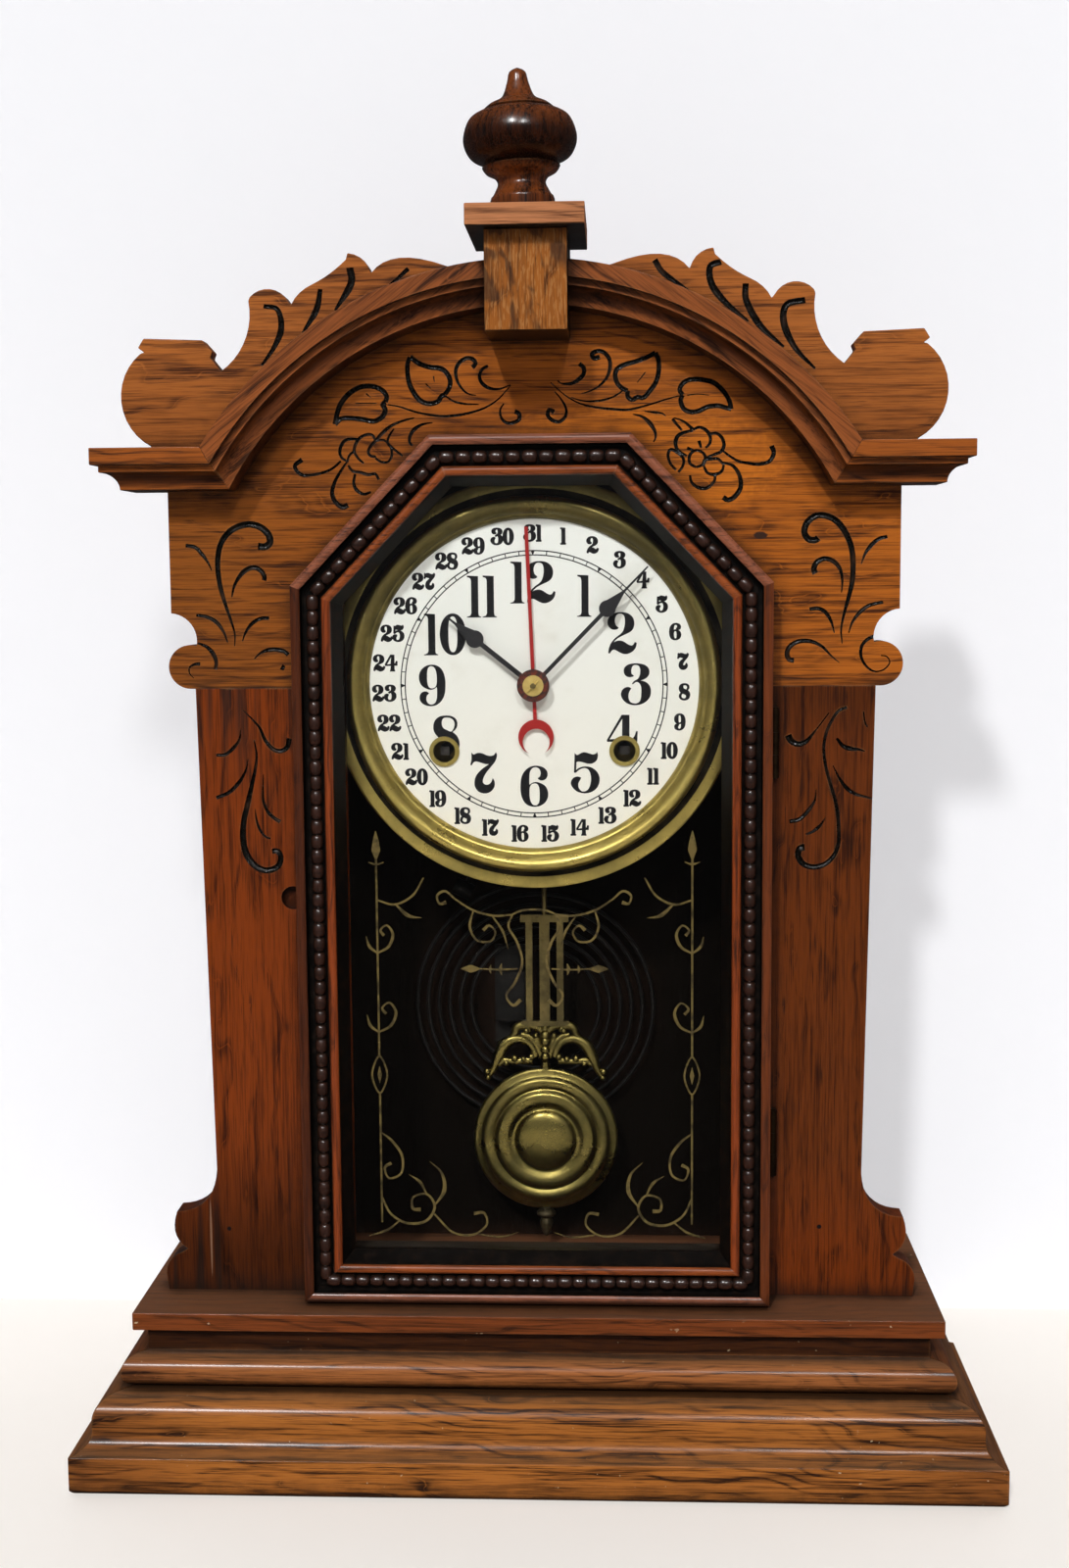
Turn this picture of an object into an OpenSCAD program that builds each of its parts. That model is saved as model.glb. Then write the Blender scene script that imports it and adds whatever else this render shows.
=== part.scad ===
// Calendar shelf clock: carved oak case with an arched top, a beaded glass door on
// hinges, a spring-driven striking movement, a pendulum, a wire gong and a date hand.
// Millimetres. +X is the viewer's right, +Y runs to the back, +Z is up, and the
// origin is the middle of the clock's footprint on the shelf.

/* [Base] */
// Width of the base over its mouldings
base_w = 408; // [380:1:440]
// Depth of the base
base_d = 135; // [125:1:160]
// How far the base stands out past the plinth board
base_out = 24; // [22:0.5:28]
// Height of the flat band at the bottom of the base moulding
fascia_h = 16.3; // [10:0.1:18]
// Height of the base moulding
base_h = 39.8; // [38:0.1:50]
// Height of the rounded neck moulding above it
neck_h = 25.4; // [22:0.1:32]
// How far the neck moulding and the base moulding reach in behind the plinth edge
moulding_in = 20; // [12:1:26]
// Thickness of the plinth board
plinth_t = 8; // [6:0.5:12]
// How far the plinth board stands in front of the face boards
plinth_front = 28.7; // [22:0.1:32]

/* [Case] */
// Thickness of the face boards
face_t = 12; // [9:0.5:14]
// Thickness of the crest board
crest_t = 10; // [7:0.5:12]
// Height of the joint between the pillars and the upper board
joint_z = 350; // [345:1:352]
// Half width of the upper board
upper_half = 160; // [156:0.5:166]
// Half width of the pillars at their narrowest
pillar_half = 146.3; // [144:0.1:150]
// Half width of the pillars under the upper board
pillar_top_half = 150; // [146:0.5:151]
// Half width of the pillar foot
foot_half = 170; // [166:0.5:174]
// Half width of the case box behind the face boards
box_half = 140; // [134:1:143]
// Thickness of the case sides and the case top
side_t = 10; // [6:0.5:12]
// Thickness of the back board
back_t = 6; // [4:0.5:8]

/* [Arch] */
// Height of the centre of the arch
arch_z = 365; // [362:0.5:368]
// Outer radius of the arch moulding
arch_r = 165.5; // [164:0.1:168]
// Height of the cornice and breadth of the arch moulding
cornice_h = 17.5; // [15:0.1:18]
// How far the cornice stands out from the face boards
cornice_out = 27; // [22:0.5:30]
// Height of the top of the cornice
cornice_top = 454.2; // [453:0.1:456]
// Width of the keystone block
key_w = 34.4; // [28:0.2:38]
// Height of the bottom of the keystone block
key_bottom = 499.5; // [494:0.5:504]
// How far the keystone block stands out from the face boards
key_out = 37; // [32:0.5:42]
// Width of the cap plate
cap_w = 49; // [44:0.5:56]
// Depth of the cap plate
cap_d = 63; // [56:0.5:66]
// Thickness of the cap plate
cap_t = 8.8; // [7:0.1:11]
// Height of the underside of the cap plate
cap_z = 540.5; // [536:0.5:546]
// Height of the finial
finial_h = 60.7; // [50:0.1:70]
// How far the finial stands to the left of the middle
finial_left = 1.9; // [0:0.1:2.5]
// How many degrees the finial leans to the left
finial_lean = 2; // [0:0.1:2.5]
// Radius of the finial's bulb
finial_r = 24; // [20:0.5:26]

/* [Door] */
// Half width of the door
door_half = 104; // [103:0.5:105]
// Height of the bottom of the door
door_bottom = 74.6; // [74:0.1:78]
// Height of the shoulder where the door's sides turn in
door_shoulder = 395.3; // [390:0.1:398]
// Height of the top of the door
door_top = 458.8; // [456:0.1:461]
// Half width of the flat top of the door
door_top_half = 43.2; // [40:0.1:46]
// Width of the door frame
door_frame_w = 21.5; // [20:0.1:24]
// Thickness of the door frame
door_t = 18; // [16:0.5:20]
// Gap between the closed door and the face boards
door_gap = 0.3; // [0.2:0.05:0.6]
// Thickness of the glass
glass_t = 2; // [1.6:0.1:3]
// Width of the face-board edge that the door laps
door_lap = 19.5; // [18:0.1:20]
// Length of each hinge
hinge_len = 30; // [22:1:40]
// Radius of the hinge pin
hinge_pin_r = 0.8; // [0.6:0.05:1]

/* [Dial] */
// Height of the dial's centre
dial_z = 350.5; // [349:0.1:352]
// Radius of the dial face
dial_r = 73.4; // [70:0.1:74]
// Radius of the flange of the dial pan
pan_flange_r = 92; // [90:0.5:95]
// Distance of a winding hole from the dial's middle line
wind_x = 40.3; // [38:0.1:42]
// Distance of a winding hole below the dial's centre
wind_drop = 29.6; // [28:0.1:32]
// Radius of the opening in a winding grommet
grommet_r = 5.4; // [4.5:0.1:6]
// Angle of the hour hand, clockwise from twelve
hour_angle = -51.3; // [-180:0.1:180]
// Angle of the minute hand, clockwise from twelve
minute_angle = 44.3; // [-180:0.1:180]
// Angle of the date hand, clockwise from the top
date_angle = -2.3; // [-180:0.1:180]

/* [Movement] */
// Thickness of the movement's plates
plate_t = 1.6; // [1.2:0.1:2]
// Distance from the face boards' front to the front plate
front_plate_y = 24; // [23.5:0.1:24.5]
// Distance from the face boards' front to the back plate
back_plate_y = 50; // [49.6:0.1:50.4]
// Half width of the plates
plate_half = 66; // [64:0.5:72]
// Radial running clearance of shafts in holes
run_gap = 0.05; // [0.02:0.01:0.1]
// Radial clearance of tubes that turn on tubes
pipe_gap = 0.1; // [0.05:0.01:0.1]

/* [Pendulum and gong] */
// Sideways place of the pendulum
pend_x = 2; // [0:0.5:3]
// Height of the pendulum's pivot above the dial's centre
pend_up = 38; // [37:0.5:40]
// Height of the middle of the bob
bob_z = 128.4; // [124:0.1:134]
// Radius of the bob
bob_r = 34.9; // [30:0.1:36]
// Distance from the face boards' front to the pendulum
pend_y = 57; // [56.5:0.1:57.5]
// Height of the middle of the gong
gong_z = 191; // [186:1:196]
// Sideways place of the gong
gong_x = -2; // [-6:1:4]
// Radius of the outer turn of the gong
gong_r = 60; // [56:0.5:64]
// Radius of the inner turn of the gong
gong_inner_r = 28.5; // [28:0.5:32]
// Turns of the gong
gong_turns = 6; // [4:1:7]
// Diameter of the gong wire
gong_wire = 2; // [1.6:0.1:2.4]

/* [Hidden] */
$fn = 64;

oak = "peru";
dark_oak = "saddlebrown";
brass = "goldenrod";
steel = "silver";
iron = "dimgray";

base_front = -base_d / 2;
base_back = base_d / 2;
face_y = base_front + base_out + plinth_front;
plinth_half = base_w / 2 - base_out;
plinth_y = base_front + base_out;
neck_z = base_h;
plinth_z = base_h + neck_h;
floor_z = plinth_z + plinth_t;
box_depth = base_back - face_y;
back_y = box_depth - back_t;
box_top = cornice_top;

arch_in_r = arch_r - cornice_h;
board_r = arch_r - cornice_h / 2;
corona_h = 7.2;
corona_step = 3;
cornice_low_out = cornice_out - 10.5;
mitre_out_x = sqrt(pow(arch_r, 2) - pow(cornice_top - arch_z, 2));
cornice_low = cornice_top - cornice_h;
mitre_in_x = sqrt(pow(arch_in_r, 2) - pow(cornice_low - arch_z, 2));

shoulder_turn = atan2(door_half - door_top_half, door_top - door_shoulder);
shoulder_tan = tan(shoulder_turn / 2);
top_tan = tan((90 - shoulder_turn) / 2);
hinge_axis_x = door_half + 2.2;
hinge_axis_y = -2.1;
hinge_knuckle_r = 1.9;
hinge_leaf_t = 0.8;
hinge_leaf_w = 12;
hinge_z = [130, 310];

pan_t = 0.6;
dial_y = 9;
face_sheet_t = 0.4;
opening_half = door_half - door_lap;
spindle_r = 1.2;
cannon_r = 2;
hour_pipe_in = cannon_r + pipe_gap;
hour_pipe_out = hour_pipe_in + 0.8;
date_pipe_in = hour_pipe_out + pipe_gap;
date_pipe_out = date_pipe_in + 0.8;

motion_distance = 12;
great_teeth = 78;
great_module = 0.68;
second_leaves = 12;
second_teeth = 70;
second_module = 0.5;
centre_leaves = 12;
centre_teeth = 80;
centre_module = 0.42;
third_leaves = 8;
third_teeth = 64;
third_module = 0.36;
escape_leaves = 8;
escape_teeth = 44;
escape_r = 11;
escape_drop = 16.5;

centre = [0, dial_z];
time_great = [wind_x, dial_z - wind_drop];
strike_great = [-wind_x, dial_z - wind_drop];
pivot = [pend_x, dial_z + pend_up];
escape = [pend_x, dial_z + pend_up - escape_drop];
second = meet(centre, time_great, gear_distance(centre_leaves, second_teeth, second_module),
    gear_distance(great_teeth, second_leaves, great_module), 1);
third = meet(centre, escape, gear_distance(centre_teeth, third_leaves, centre_module),
    gear_distance(third_teeth, escape_leaves, third_module), 1);
minute_stud = [motion_distance * cos(60), dial_z + motion_distance * sin(60)];
day_stud = [-motion_distance * cos(50), dial_z + motion_distance * sin(50)];
hammer = [-12, dial_z - 50];

great_y = back_plate_y - 6.4;
second_y = back_plate_y - 2.4;
centre_y = front_plate_y + 16;
third_y = front_plate_y + 9;
escape_y = front_plate_y + 5;
pivot_r = 0.6;
arbor_r = 1;
post_r = 3.2;
posts = [[-61, dial_z + 44], [61, dial_z + 44], [-61, dial_z - 54], [61, dial_z - 54]];
spring_r = 26;
spring_hub_r = 5;

gong_y = back_y - 6;
stand_w = 14;
stand_h = 24;
stand_at = [-13, 5];
gong_bend = 8;

function gear_distance(a, b, m) = (a + b) * m / 2;
function bearing(p, q) = atan2(q[1] - p[1], q[0] - p[0]);
function meet(p, q, dp, dq, side) =
    let (d = norm(q - p), a = (dp * dp - dq * dq + d * d) / (2 * d),
        h = sqrt(max(0, dp * dp - a * a)), u = (q - p) / d)
    p + a * u + side * h * [-u[1], u[0]];
function arc(c, r, a0, a1, n) =
    [for (i = [0 : n]) c + r * [cos(a0 + (a1 - a0) * i / n), sin(a0 + (a1 - a0) * i / n)]];
function curve(p, q, s, n) =
    [for (i = [0 : n]) let (t = i / n) (1 - t) * (1 - t) * p + 2 * t * (1 - t) * q + t * t * s];
function mirrored(points) = [for (p = points) [-p[0], p[1]]];
function reversed(points) = [for (i = [len(points) - 1 : -1 : 0]) points[i]];

// An outline drawn in X and Z becomes a slab from depth y0 behind the face plane.
module slab(y0, t) {
    translate([0, face_y + y0 + t, 0])
        rotate([90, 0, 0])
        linear_extrude(t)
        children();
}

// A round bar along Y at the point p, given as [x, z].
module bar(p, y0, y1, r) {
    translate([p[0], face_y + y0, p[1]])
        rotate([-90, 0, 0])
        cylinder(h = y1 - y0, r = r);
}

// A turned piece about the Y axis at p, drawn as radius and depth.
module turned(p) {
    translate([p[0], face_y, p[1]])
        rotate([-90, 0, 0])
        rotate_extrude()
        children();
}

module spot(p) {
    translate([p[0], p[1]])
        children();
}

// A gear outline with a tooth on the bearing a.
module gear_outline(teeth, m, a) {
    root = m * (teeth / 2 - 1.15);
    pitch = m * teeth / 2;
    tip = m * (teeth / 2 + 0.8);
    step = 360 / teeth;
    marks = [[root, -0.29], [pitch, -0.19], [tip, -0.08], [tip, 0.08], [pitch, 0.19],
        [root, 0.29]];
    polygon([for (i = [0 : teeth - 1]) for (k = marks)
        k[0] * [cos(a + (i + k[1]) * step), sin(a + (i + k[1]) * step)]]);
}

module ratchet_outline(teeth, tip, root) {
    step = 360 / teeth;
    polygon([for (i = [0 : teeth - 1]) for (k = [[root, 0], [tip, 0.12]])
        k[0] * [cos((i + k[1]) * step), sin((i + k[1]) * step)]]);
}

module wheel(p, teeth, m, a, y0, t, bore) {
    slab(y0, t)
        spot(p)
        difference() {
            gear_outline(teeth, m, a);
            circle(r = bore);
        }
}

module spoked_wheel(p, teeth, m, a, y0, t, bore, hub) {
    rim = m * (teeth / 2 - 1.15) * 0.84;
    slab(y0, t)
        spot(p)
        difference() {
            gear_outline(teeth, m, a);
            circle(r = bore);
            difference() {
                circle(r = rim);
                circle(r = hub);
                for (k = [0 : 3])
                    rotate(k * 90 + 45)
                        translate([0, -hub * 0.3])
                        square([rim + 1, hub * 0.6]);
            }
        }
}

// The profile of the base moulding: distance out past the plinth edge, and height.
module base_profile() {
    ovolo_r = base_h - fascia_h - 13;
    ovolo_x = base_out - 19;
    wall_x = ovolo_x + ovolo_r;
    difference() {
        polygon([[-moulding_in, 0], [base_out - 1.5, 0], [base_out, 1.5], [base_out, fascia_h],
            [base_out, base_h - ovolo_r], [ovolo_x, base_h - ovolo_r], [ovolo_x, base_h],
            [-moulding_in, base_h]]);
        translate([base_out + 0.1, fascia_h + 9.2])
            circle(r = base_out + 0.1 - wall_x);
        translate([wall_x, fascia_h + 9.2])
            square([base_out, base_h]);
    }
    difference() {
        translate([ovolo_x, base_h - ovolo_r])
            circle(r = ovolo_r);
        translate([-base_w, -base_w])
            square([base_w + ovolo_x - 0.5, 2 * base_w]);
        translate([-base_w, -base_w])
            square([2 * base_w, base_w + base_h - ovolo_r]);
    }
}

module neck_profile() {
    torus_r = 7.3;
    torus_x = -2.4;
    band_x = -5.5;
    translate([-moulding_in, neck_z])
        square([moulding_in + band_x, neck_h]);
    difference() {
        union() {
            translate([torus_x, neck_z + torus_r])
                circle(r = torus_r);
            translate([-moulding_in + 1, neck_z])
                square([moulding_in - 1 + torus_x, 2 * torus_r]);
        }
        translate([-base_w, neck_z - base_w])
            square([2 * base_w, base_w]);
    }
}

// A moulding run across the front, mitred at both ends.
module front_run() {
    reach = base_out + 10;
    intersection() {
        translate([-base_w, plinth_y, 0])
            rotate([90, 0, 90])
            linear_extrude(2 * base_w)
            mirror([1, 0])
            children();
        linear_extrude(plinth_z)
            polygon([[-plinth_half - reach, plinth_y - reach], [plinth_half + reach, plinth_y - reach],
                [plinth_half - reach, plinth_y + reach], [-plinth_half + reach, plinth_y + reach]]);
    }
}

// The same moulding down the right side, mitred at the front end.
module side_run() {
    reach = base_out + 10;
    intersection() {
        translate([plinth_half, base_back, 0])
            rotate([90, 0, 0])
            linear_extrude(base_d)
            children();
        linear_extrude(plinth_z)
            polygon([[plinth_half + reach, plinth_y - reach], [plinth_half + reach, base_back],
                [plinth_half - reach, base_back], [plinth_half - reach, plinth_y + reach]]);
    }
}

module base_front_moulding() {
    color(dark_oak)
        front_run()
        base_profile();
}

module base_side_mouldings() {
    color(dark_oak)
        for (s = [0, 1])
            mirror([s, 0, 0])
                side_run()
                base_profile();
}

module neck_front_moulding() {
    color(oak)
        front_run()
        neck_profile();
}

module neck_side_mouldings() {
    color(oak)
        for (s = [0, 1])
            mirror([s, 0, 0])
                side_run()
                neck_profile();
}

module base_back_rail() {
    rail_t = 12;
    inside = plinth_half - moulding_in;
    color(dark_oak)
        translate([-inside, base_back - rail_t, 0])
        cube([2 * inside, rail_t, plinth_z]);
}

module plinth_board() {
    color(dark_oak)
        translate([-plinth_half, plinth_y, plinth_z])
        cube([2 * plinth_half, base_back - plinth_y, plinth_t]);
}

module case_sides() {
    color(dark_oak)
        for (s = [0, 1])
            mirror([s, 0, 0])
                translate([box_half - side_t, face_y + face_t, floor_z])
                cube([side_t, back_y - face_t, box_top - side_t - floor_z]);
}

module case_top() {
    color(dark_oak)
        translate([-box_half, face_y + face_t, box_top - side_t])
        cube([2 * box_half, back_y - face_t, side_t]);
}

module case_back() {
    color(dark_oak)
        translate([-box_half, face_y + back_y, floor_z])
        cube([2 * box_half, back_t, box_top - floor_z]);
}

// The right-hand pillar: a straight inner edge, and a toe, an ear and a sweep outside.
module pillar_outline() {
    toe_r = 10;
    ear_z = floor_z + 37;
    sweep_z = ear_z + 20;
    ear_x = pillar_half + 19;
    polygon(concat([[opening_half, floor_z], [foot_half, floor_z]],
        arc([foot_half - toe_r + 0.9, floor_z + 8], toe_r, 0, 74, 5),
        curve([foot_half - 9.2, floor_z + 19.4], [foot_half - 0.5, floor_z + 25], [ear_x, ear_z], 7),
        curve([ear_x, ear_z], [pillar_half + 1.5, ear_z + 0.5], [pillar_half, sweep_z], 10),
        [[pillar_top_half, joint_z], [opening_half, joint_z]]));
}

module pillar(right) {
    notch = [-108.5, 256];
    notch_r = 5.2;
    difference() {
        mirror([right ? 0 : 1, 0, 0])
            slab(0, face_t)
            pillar_outline();
        if (!right)
            bar(notch, -1, 4.5, notch_r);
        if (right)
            hinge_mortises(0, hinge_leaf_t + run_gap);
        for (a = screw_angles)
            bar(screw_at(a), 5, face_t + 1, 1.05);
    }
}

module pillar_left() {
    color(oak)
        pillar(false);
}

module pillar_right() {
    color(oak)
        pillar(true);
}

module sill_rail() {
    color(dark_oak)
        slab(0, face_t)
        translate([-opening_half, floor_z])
        square([2 * opening_half, door_bottom + door_frame_w - 3 - floor_z]);
}

function door_outline(d) = let (s = door_half - d, t = door_top_half - d * top_tan)
    [[-s, door_bottom + d], [s, door_bottom + d], [s, door_shoulder - d * shoulder_tan],
    [t, door_top - d], [-t, door_top - d], [-s, door_shoulder - d * shoulder_tan]];

module upper_board() {
    notch_r = 12.2;
    notch = [upper_half + 1, joint_z + 21.3];
    lobe_r = 9.7;
    lobe = [upper_half - 8, joint_z + lobe_r];
    color(oak)
        difference() {
            slab(0, face_t)
                difference() {
                    union() {
                        difference() {
                            translate([-upper_half, joint_z])
                                square([2 * upper_half, cornice_top - joint_z]);
                            for (s = [-1, 1]) {
                                spot([s * notch[0], notch[1]])
                                    circle(r = notch_r);
                                translate([s > 0 ? lobe[0] : -2 * upper_half, joint_z])
                                    square([2 * upper_half - lobe[0], notch[1] - joint_z]);
                            }
                        }
                        for (s = [-1, 1])
                            spot([s * lobe[0], lobe[1]])
                                circle(r = lobe_r);
                        intersection() {
                            spot([0, arch_z])
                                circle(r = board_r, $fn = 180);
                            translate([-upper_half, cornice_top - 1])
                                square([2 * upper_half, 2 * arch_r]);
                        }
                    }
                    polygon(door_outline(door_lap));
                }
            for (a = screw_angles)
                bar(screw_at(a), 5, face_t + 1, 1.05);
        }
}

// The right half of the crest's edge, from the keystone out to the urn's foot.
function crest_edge() = let (urn = [155.5, 477.5], urn_r = 24)
    concat([[0, cap_z - 15.5], [key_w / 2 + 0.5, cap_z - 15.5], [26, 529]],
        curve([36, 531.8], [60, 540.5], [68.6, 529.2], 8),
        curve([68.6, 529.2], [71, 537], [78.7, 537.8], 5),
        curve([79.5, 535], [86, 529], [92, 526], 4),
        curve([94, 525], [101, 522], [103.7, 516.3], 4),
        arc([114, 512.8], 10.4, 152, 42, 8),
        arc([151.5, 513], 29.6, 170, 236, 9),
        [[139.6, 494.2], [138.6, 496.8], [143, 501.8], [168.8, 502.8], [171.3, 498.8],
        [168.6, 496.8]],
        arc(urn, urn_r, 52, -62, 12),
        [[166, cornice_top]]);

module crest_board() {
    color(oak)
        slab(0, crest_t)
        difference() {
            polygon(concat(crest_edge(), [[0, cornice_top]], reversed(mirrored(crest_edge()))));
            spot([0, arch_z])
                circle(r = board_r, $fn = 180);
        }
}

// The moulding seen from its end: up the breadth of the moulding, and out from the face.
module cornice_profile() {
    cove_r = cornice_h - corona_h - corona_step;
    difference() {
        square([cornice_h, cornice_out]);
        translate([-1, cornice_out - corona_step])
            square([cornice_h - corona_h + 1, corona_step + 1]);
        spot([0, cornice_out - corona_step])
            circle(r = cove_r);
        translate([-1, cornice_low_out])
            square([1, cornice_out]);
    }
}

module mitre_region(out) {
    run = [mitre_out_x - mitre_in_x, cornice_h];
    high = [mitre_out_x, cornice_top] + 3 * run;
    low = [mitre_in_x, cornice_low] - 3 * run;
    if (out)
        polygon([low, high, [3 * upper_half, high[1]], [3 * upper_half, low[1]]]);
    else
        polygon([[0, low[1]], low, high, [high[0], 2 * high[1]], [0, 2 * high[1]]]);
}

module arch_mouldings() {
    color(oak)
        for (s = [0, 1])
            mirror([s, 0, 0])
                intersection() {
                    translate([0, face_y, arch_z])
                        rotate([90, 0, 0])
                        rotate_extrude($fn = 180)
                        translate([arch_in_r, 0])
                        cornice_profile();
                    slab(-cornice_out, cornice_out)
                        intersection() {
                            mitre_region(false);
                            translate([key_w / 2, 0])
                                square([arch_r, 2 * cap_z]);
                        }
                }
}

module cornice_end() {
    difference() {
        intersection() {
            translate([0, face_y, cornice_low])
                rotate([90, 0, 90])
                linear_extrude(3 * upper_half)
                union() {
                    rotate(90)
                        cornice_profile();
                    translate([-0.5, 0])
                        square([crest_t + 0.5, cornice_h]);
                }
            translate([0, face_y + crest_t, cornice_low])
                rotate([90, 0, 0])
                linear_extrude(cornice_out + crest_t)
                union() {
                    translate([upper_half, 0])
                        rotate(90)
                        mirror([0, 1])
                        cornice_profile();
                    square([upper_half + 0.5, cornice_h]);
                }
            slab(-cornice_out, cornice_out + crest_t)
                mitre_region(true);
        }
        translate([0, face_y, 0])
            cube([upper_half, face_t, 2 * cornice_top]);
    }
}

module cornice_ends() {
    color(oak)
        for (s = [0, 1])
            mirror([s, 0, 0])
                cornice_end();
}

module keystone_block() {
    crest_top = cap_z - 15.5;
    color(oak) {
        slab(-key_out, key_out)
            translate([-key_w / 2, key_bottom])
            square([key_w, cap_z - key_bottom]);
        slab(-0.5, face_t + 0.5)
            translate([-key_w / 2, crest_top])
            square([key_w, cap_z - crest_top]);
    }
}

cap_front = -key_out - 8;
finial_y = cap_front + cap_d / 2;

module cap_plate() {
    color(oak)
        translate([-cap_w / 2, face_y + cap_front, cap_z])
        cube([cap_w, cap_d, cap_t]);
}

module finial() {
    k = finial_h / 60.7;
    bulb = [for (i = [-8 : 9]) [finial_r - 14.5 + 14.5 * cos(i * 8.2), k * (30.5 + 12.5 * sin(i * 8.2))]];
    color(dark_oak)
        translate([-finial_left, face_y + finial_y, cap_z + cap_t])
        intersection() {
            translate([-finial_r - 5, -finial_r - 5, 0])
                cube([2 * finial_r + 10, 2 * finial_r + 10, finial_h]);
            rotate([0, -finial_lean, 0])
                rotate_extrude()
                polygon(concat([[0, -1], [13.35, -1], [13.35, k * 6]],
                    curve([12.6, k * 7], [9.6, k * 11], [11.2, k * 13.2], 5),
                    curve([11.4, k * 13.4], [11.8, k * 15.4], [14, k * 16], 4),
                    [[15.1, k * 17], [15.2, k * 18.6]], bulb,
                    [[12.9, k * 43.8]],
                    curve([12, k * 44.2], [5, k * 47.4], [3.5, k * 57], 9),
                    curve([3.5, k * 57], [3, k * 60.6], [0, finial_h], 5)));
        }
}

// A member of the door frame between two corners of its outline.
module door_member(i) {
    corners = door_outline(0);
    p = corners[i];
    q = corners[(i + 1) % 6];
    outer = door_outline(-1);
    inner = door_outline(door_frame_w + 1);
    translate([0, face_y, 0])
        rotate([90, 0, 0])
        intersection() {
            translate([p[0], p[1], 0])
                rotate([0, 0, bearing(p, q)])
                rotate([90, 0, 90])
                linear_extrude(norm(q - p))
                children();
            linear_extrude(door_t + 2)
                polygon([outer[i], outer[(i + 1) % 6], inner[(i + 1) % 6], inner[i]]);
        }
}

glass_front = 7.5;
rebate = door_frame_w - 5;

// The frame's section: distance in from the outer edge, and distance out from the face.
module frame_section() {
    bead_r = 2.2;
    polygon([[0, door_gap], [rebate, door_gap], [rebate, glass_front], [door_frame_w, glass_front],
        [door_frame_w - 4.2, door_t - 3.2], [13.1, door_t - 3.2], [13.1, door_t - 5],
        [12.2, door_t - 5], [12.2, door_t - 3.6], [6.4, door_t - 3.6], [6.4, door_t - 5.2],
        [4.4, door_t - 5.2], [4.4, door_t - bead_r], [0, door_t - bead_r]]);
    spot([bead_r, door_t - bead_r])
        circle(r = bead_r);
    spot([9.3, door_t - 3.6])
        circle(r = 2.9);
    spot([15.2, door_t - 3.2])
        circle(r = 2.1);
}

// The mortises that take the hinge leaves, from the face outwards.
module hinge_mortises(y0, t) {
    for (z = hinge_z)
        translate([hinge_axis_x - hinge_leaf_w - run_gap, face_y + y0 - 0.01, z - run_gap])
            cube([hinge_leaf_w + 0.2, t + 0.01, hinge_len + 2 * run_gap]);
}

module stile_right_cut() {
    for (z = hinge_z)
        translate([hinge_axis_x - hinge_leaf_w - run_gap,
            face_y - door_gap - hinge_leaf_t - run_gap, z - run_gap])
            cube([hinge_leaf_w, hinge_leaf_t + 1, hinge_len + 2 * run_gap]);
}

module door_bottom_rail() {
    color(dark_oak)
        door_member(0)
        frame_section();
}

module door_stile_right() {
    color(dark_oak)
        difference() {
            door_member(1)
                frame_section();
            stile_right_cut();
        }
}

module door_stile_left() {
    color(dark_oak)
        door_member(5)
        frame_section();
}

module door_corner_rails() {
    color(dark_oak)
        for (i = [2, 4])
            door_member(i)
                frame_section();
}

module door_top_rail() {
    color(dark_oak)
        door_member(3)
        frame_section();
}

module door_glass() {
    color("lightblue", 0.35)
        slab(-glass_front, glass_t)
        polygon(door_outline(rebate + 0.3));
}

// Six strips meet at the corners with hairline mitres.
module glass_beads() {
    color(dark_oak)
        slab(glass_t - glass_front, 3.4)
        difference() {
            polygon(door_outline(rebate + 0.1));
            polygon(door_outline(rebate + 4));
            for (i = [0 : 5]) {
                p = door_outline(rebate - 2)[i];
                q = door_outline(rebate + 6)[i];
                spot(p)
                    rotate(bearing(p, q))
                    translate([0, -0.05])
                    square([norm(q - p), 0.1]);
            }
        }
}

// One hinge knuckle with its bore, between two heights.
module knuckle(z0, z1) {
    translate([hinge_axis_x, face_y + hinge_axis_y, z0])
        cylinder(h = z1 - z0, r = hinge_knuckle_r);
}

module knuckle_bore() {
    for (z = hinge_z)
        translate([hinge_axis_x, face_y + hinge_axis_y, z - 5])
            cylinder(h = hinge_len + 10, r = hinge_pin_r + run_gap);
}

third_len = hinge_len / 3;

module door_hinge_leaves() {
    low = -door_gap - hinge_leaf_t;
    color(brass)
        difference() {
            for (z = hinge_z) {
                translate([hinge_axis_x - hinge_leaf_w, face_y + low, z])
                    cube([hinge_leaf_w - 2.1, hinge_leaf_t, hinge_len]);
                translate([hinge_axis_x - 3, face_y + low, z + third_len + 0.1])
                    cube([3, hinge_leaf_t, third_len - 0.2]);
                knuckle(z + third_len + 0.1, z + 2 * third_len - 0.1);
            }
            knuckle_bore();
        }
}

module case_hinge_leaves() {
    color(brass)
        difference() {
            for (z = hinge_z) {
                translate([hinge_axis_x - hinge_leaf_w, face_y, z])
                    cube([hinge_leaf_w, hinge_leaf_t, hinge_len]);
                for (s = [0, 2 * third_len]) {
                    translate([hinge_axis_x - 0.9, face_y + hinge_axis_y, z + s])
                        cube([0.9, hinge_leaf_t - hinge_axis_y, third_len]);
                    knuckle(z + s, z + s + third_len);
                }
            }
            knuckle_bore();
        }
}

module hinge_pins() {
    color(steel)
        for (z = hinge_z)
            translate([hinge_axis_x, face_y + hinge_axis_y, z - 0.6]) {
                cylinder(h = hinge_len + 1.2, r = hinge_pin_r);
                translate([0, 0, hinge_len + 0.65])
                    cylinder(h = 0.8, r = 1.4);
            }
}

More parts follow.
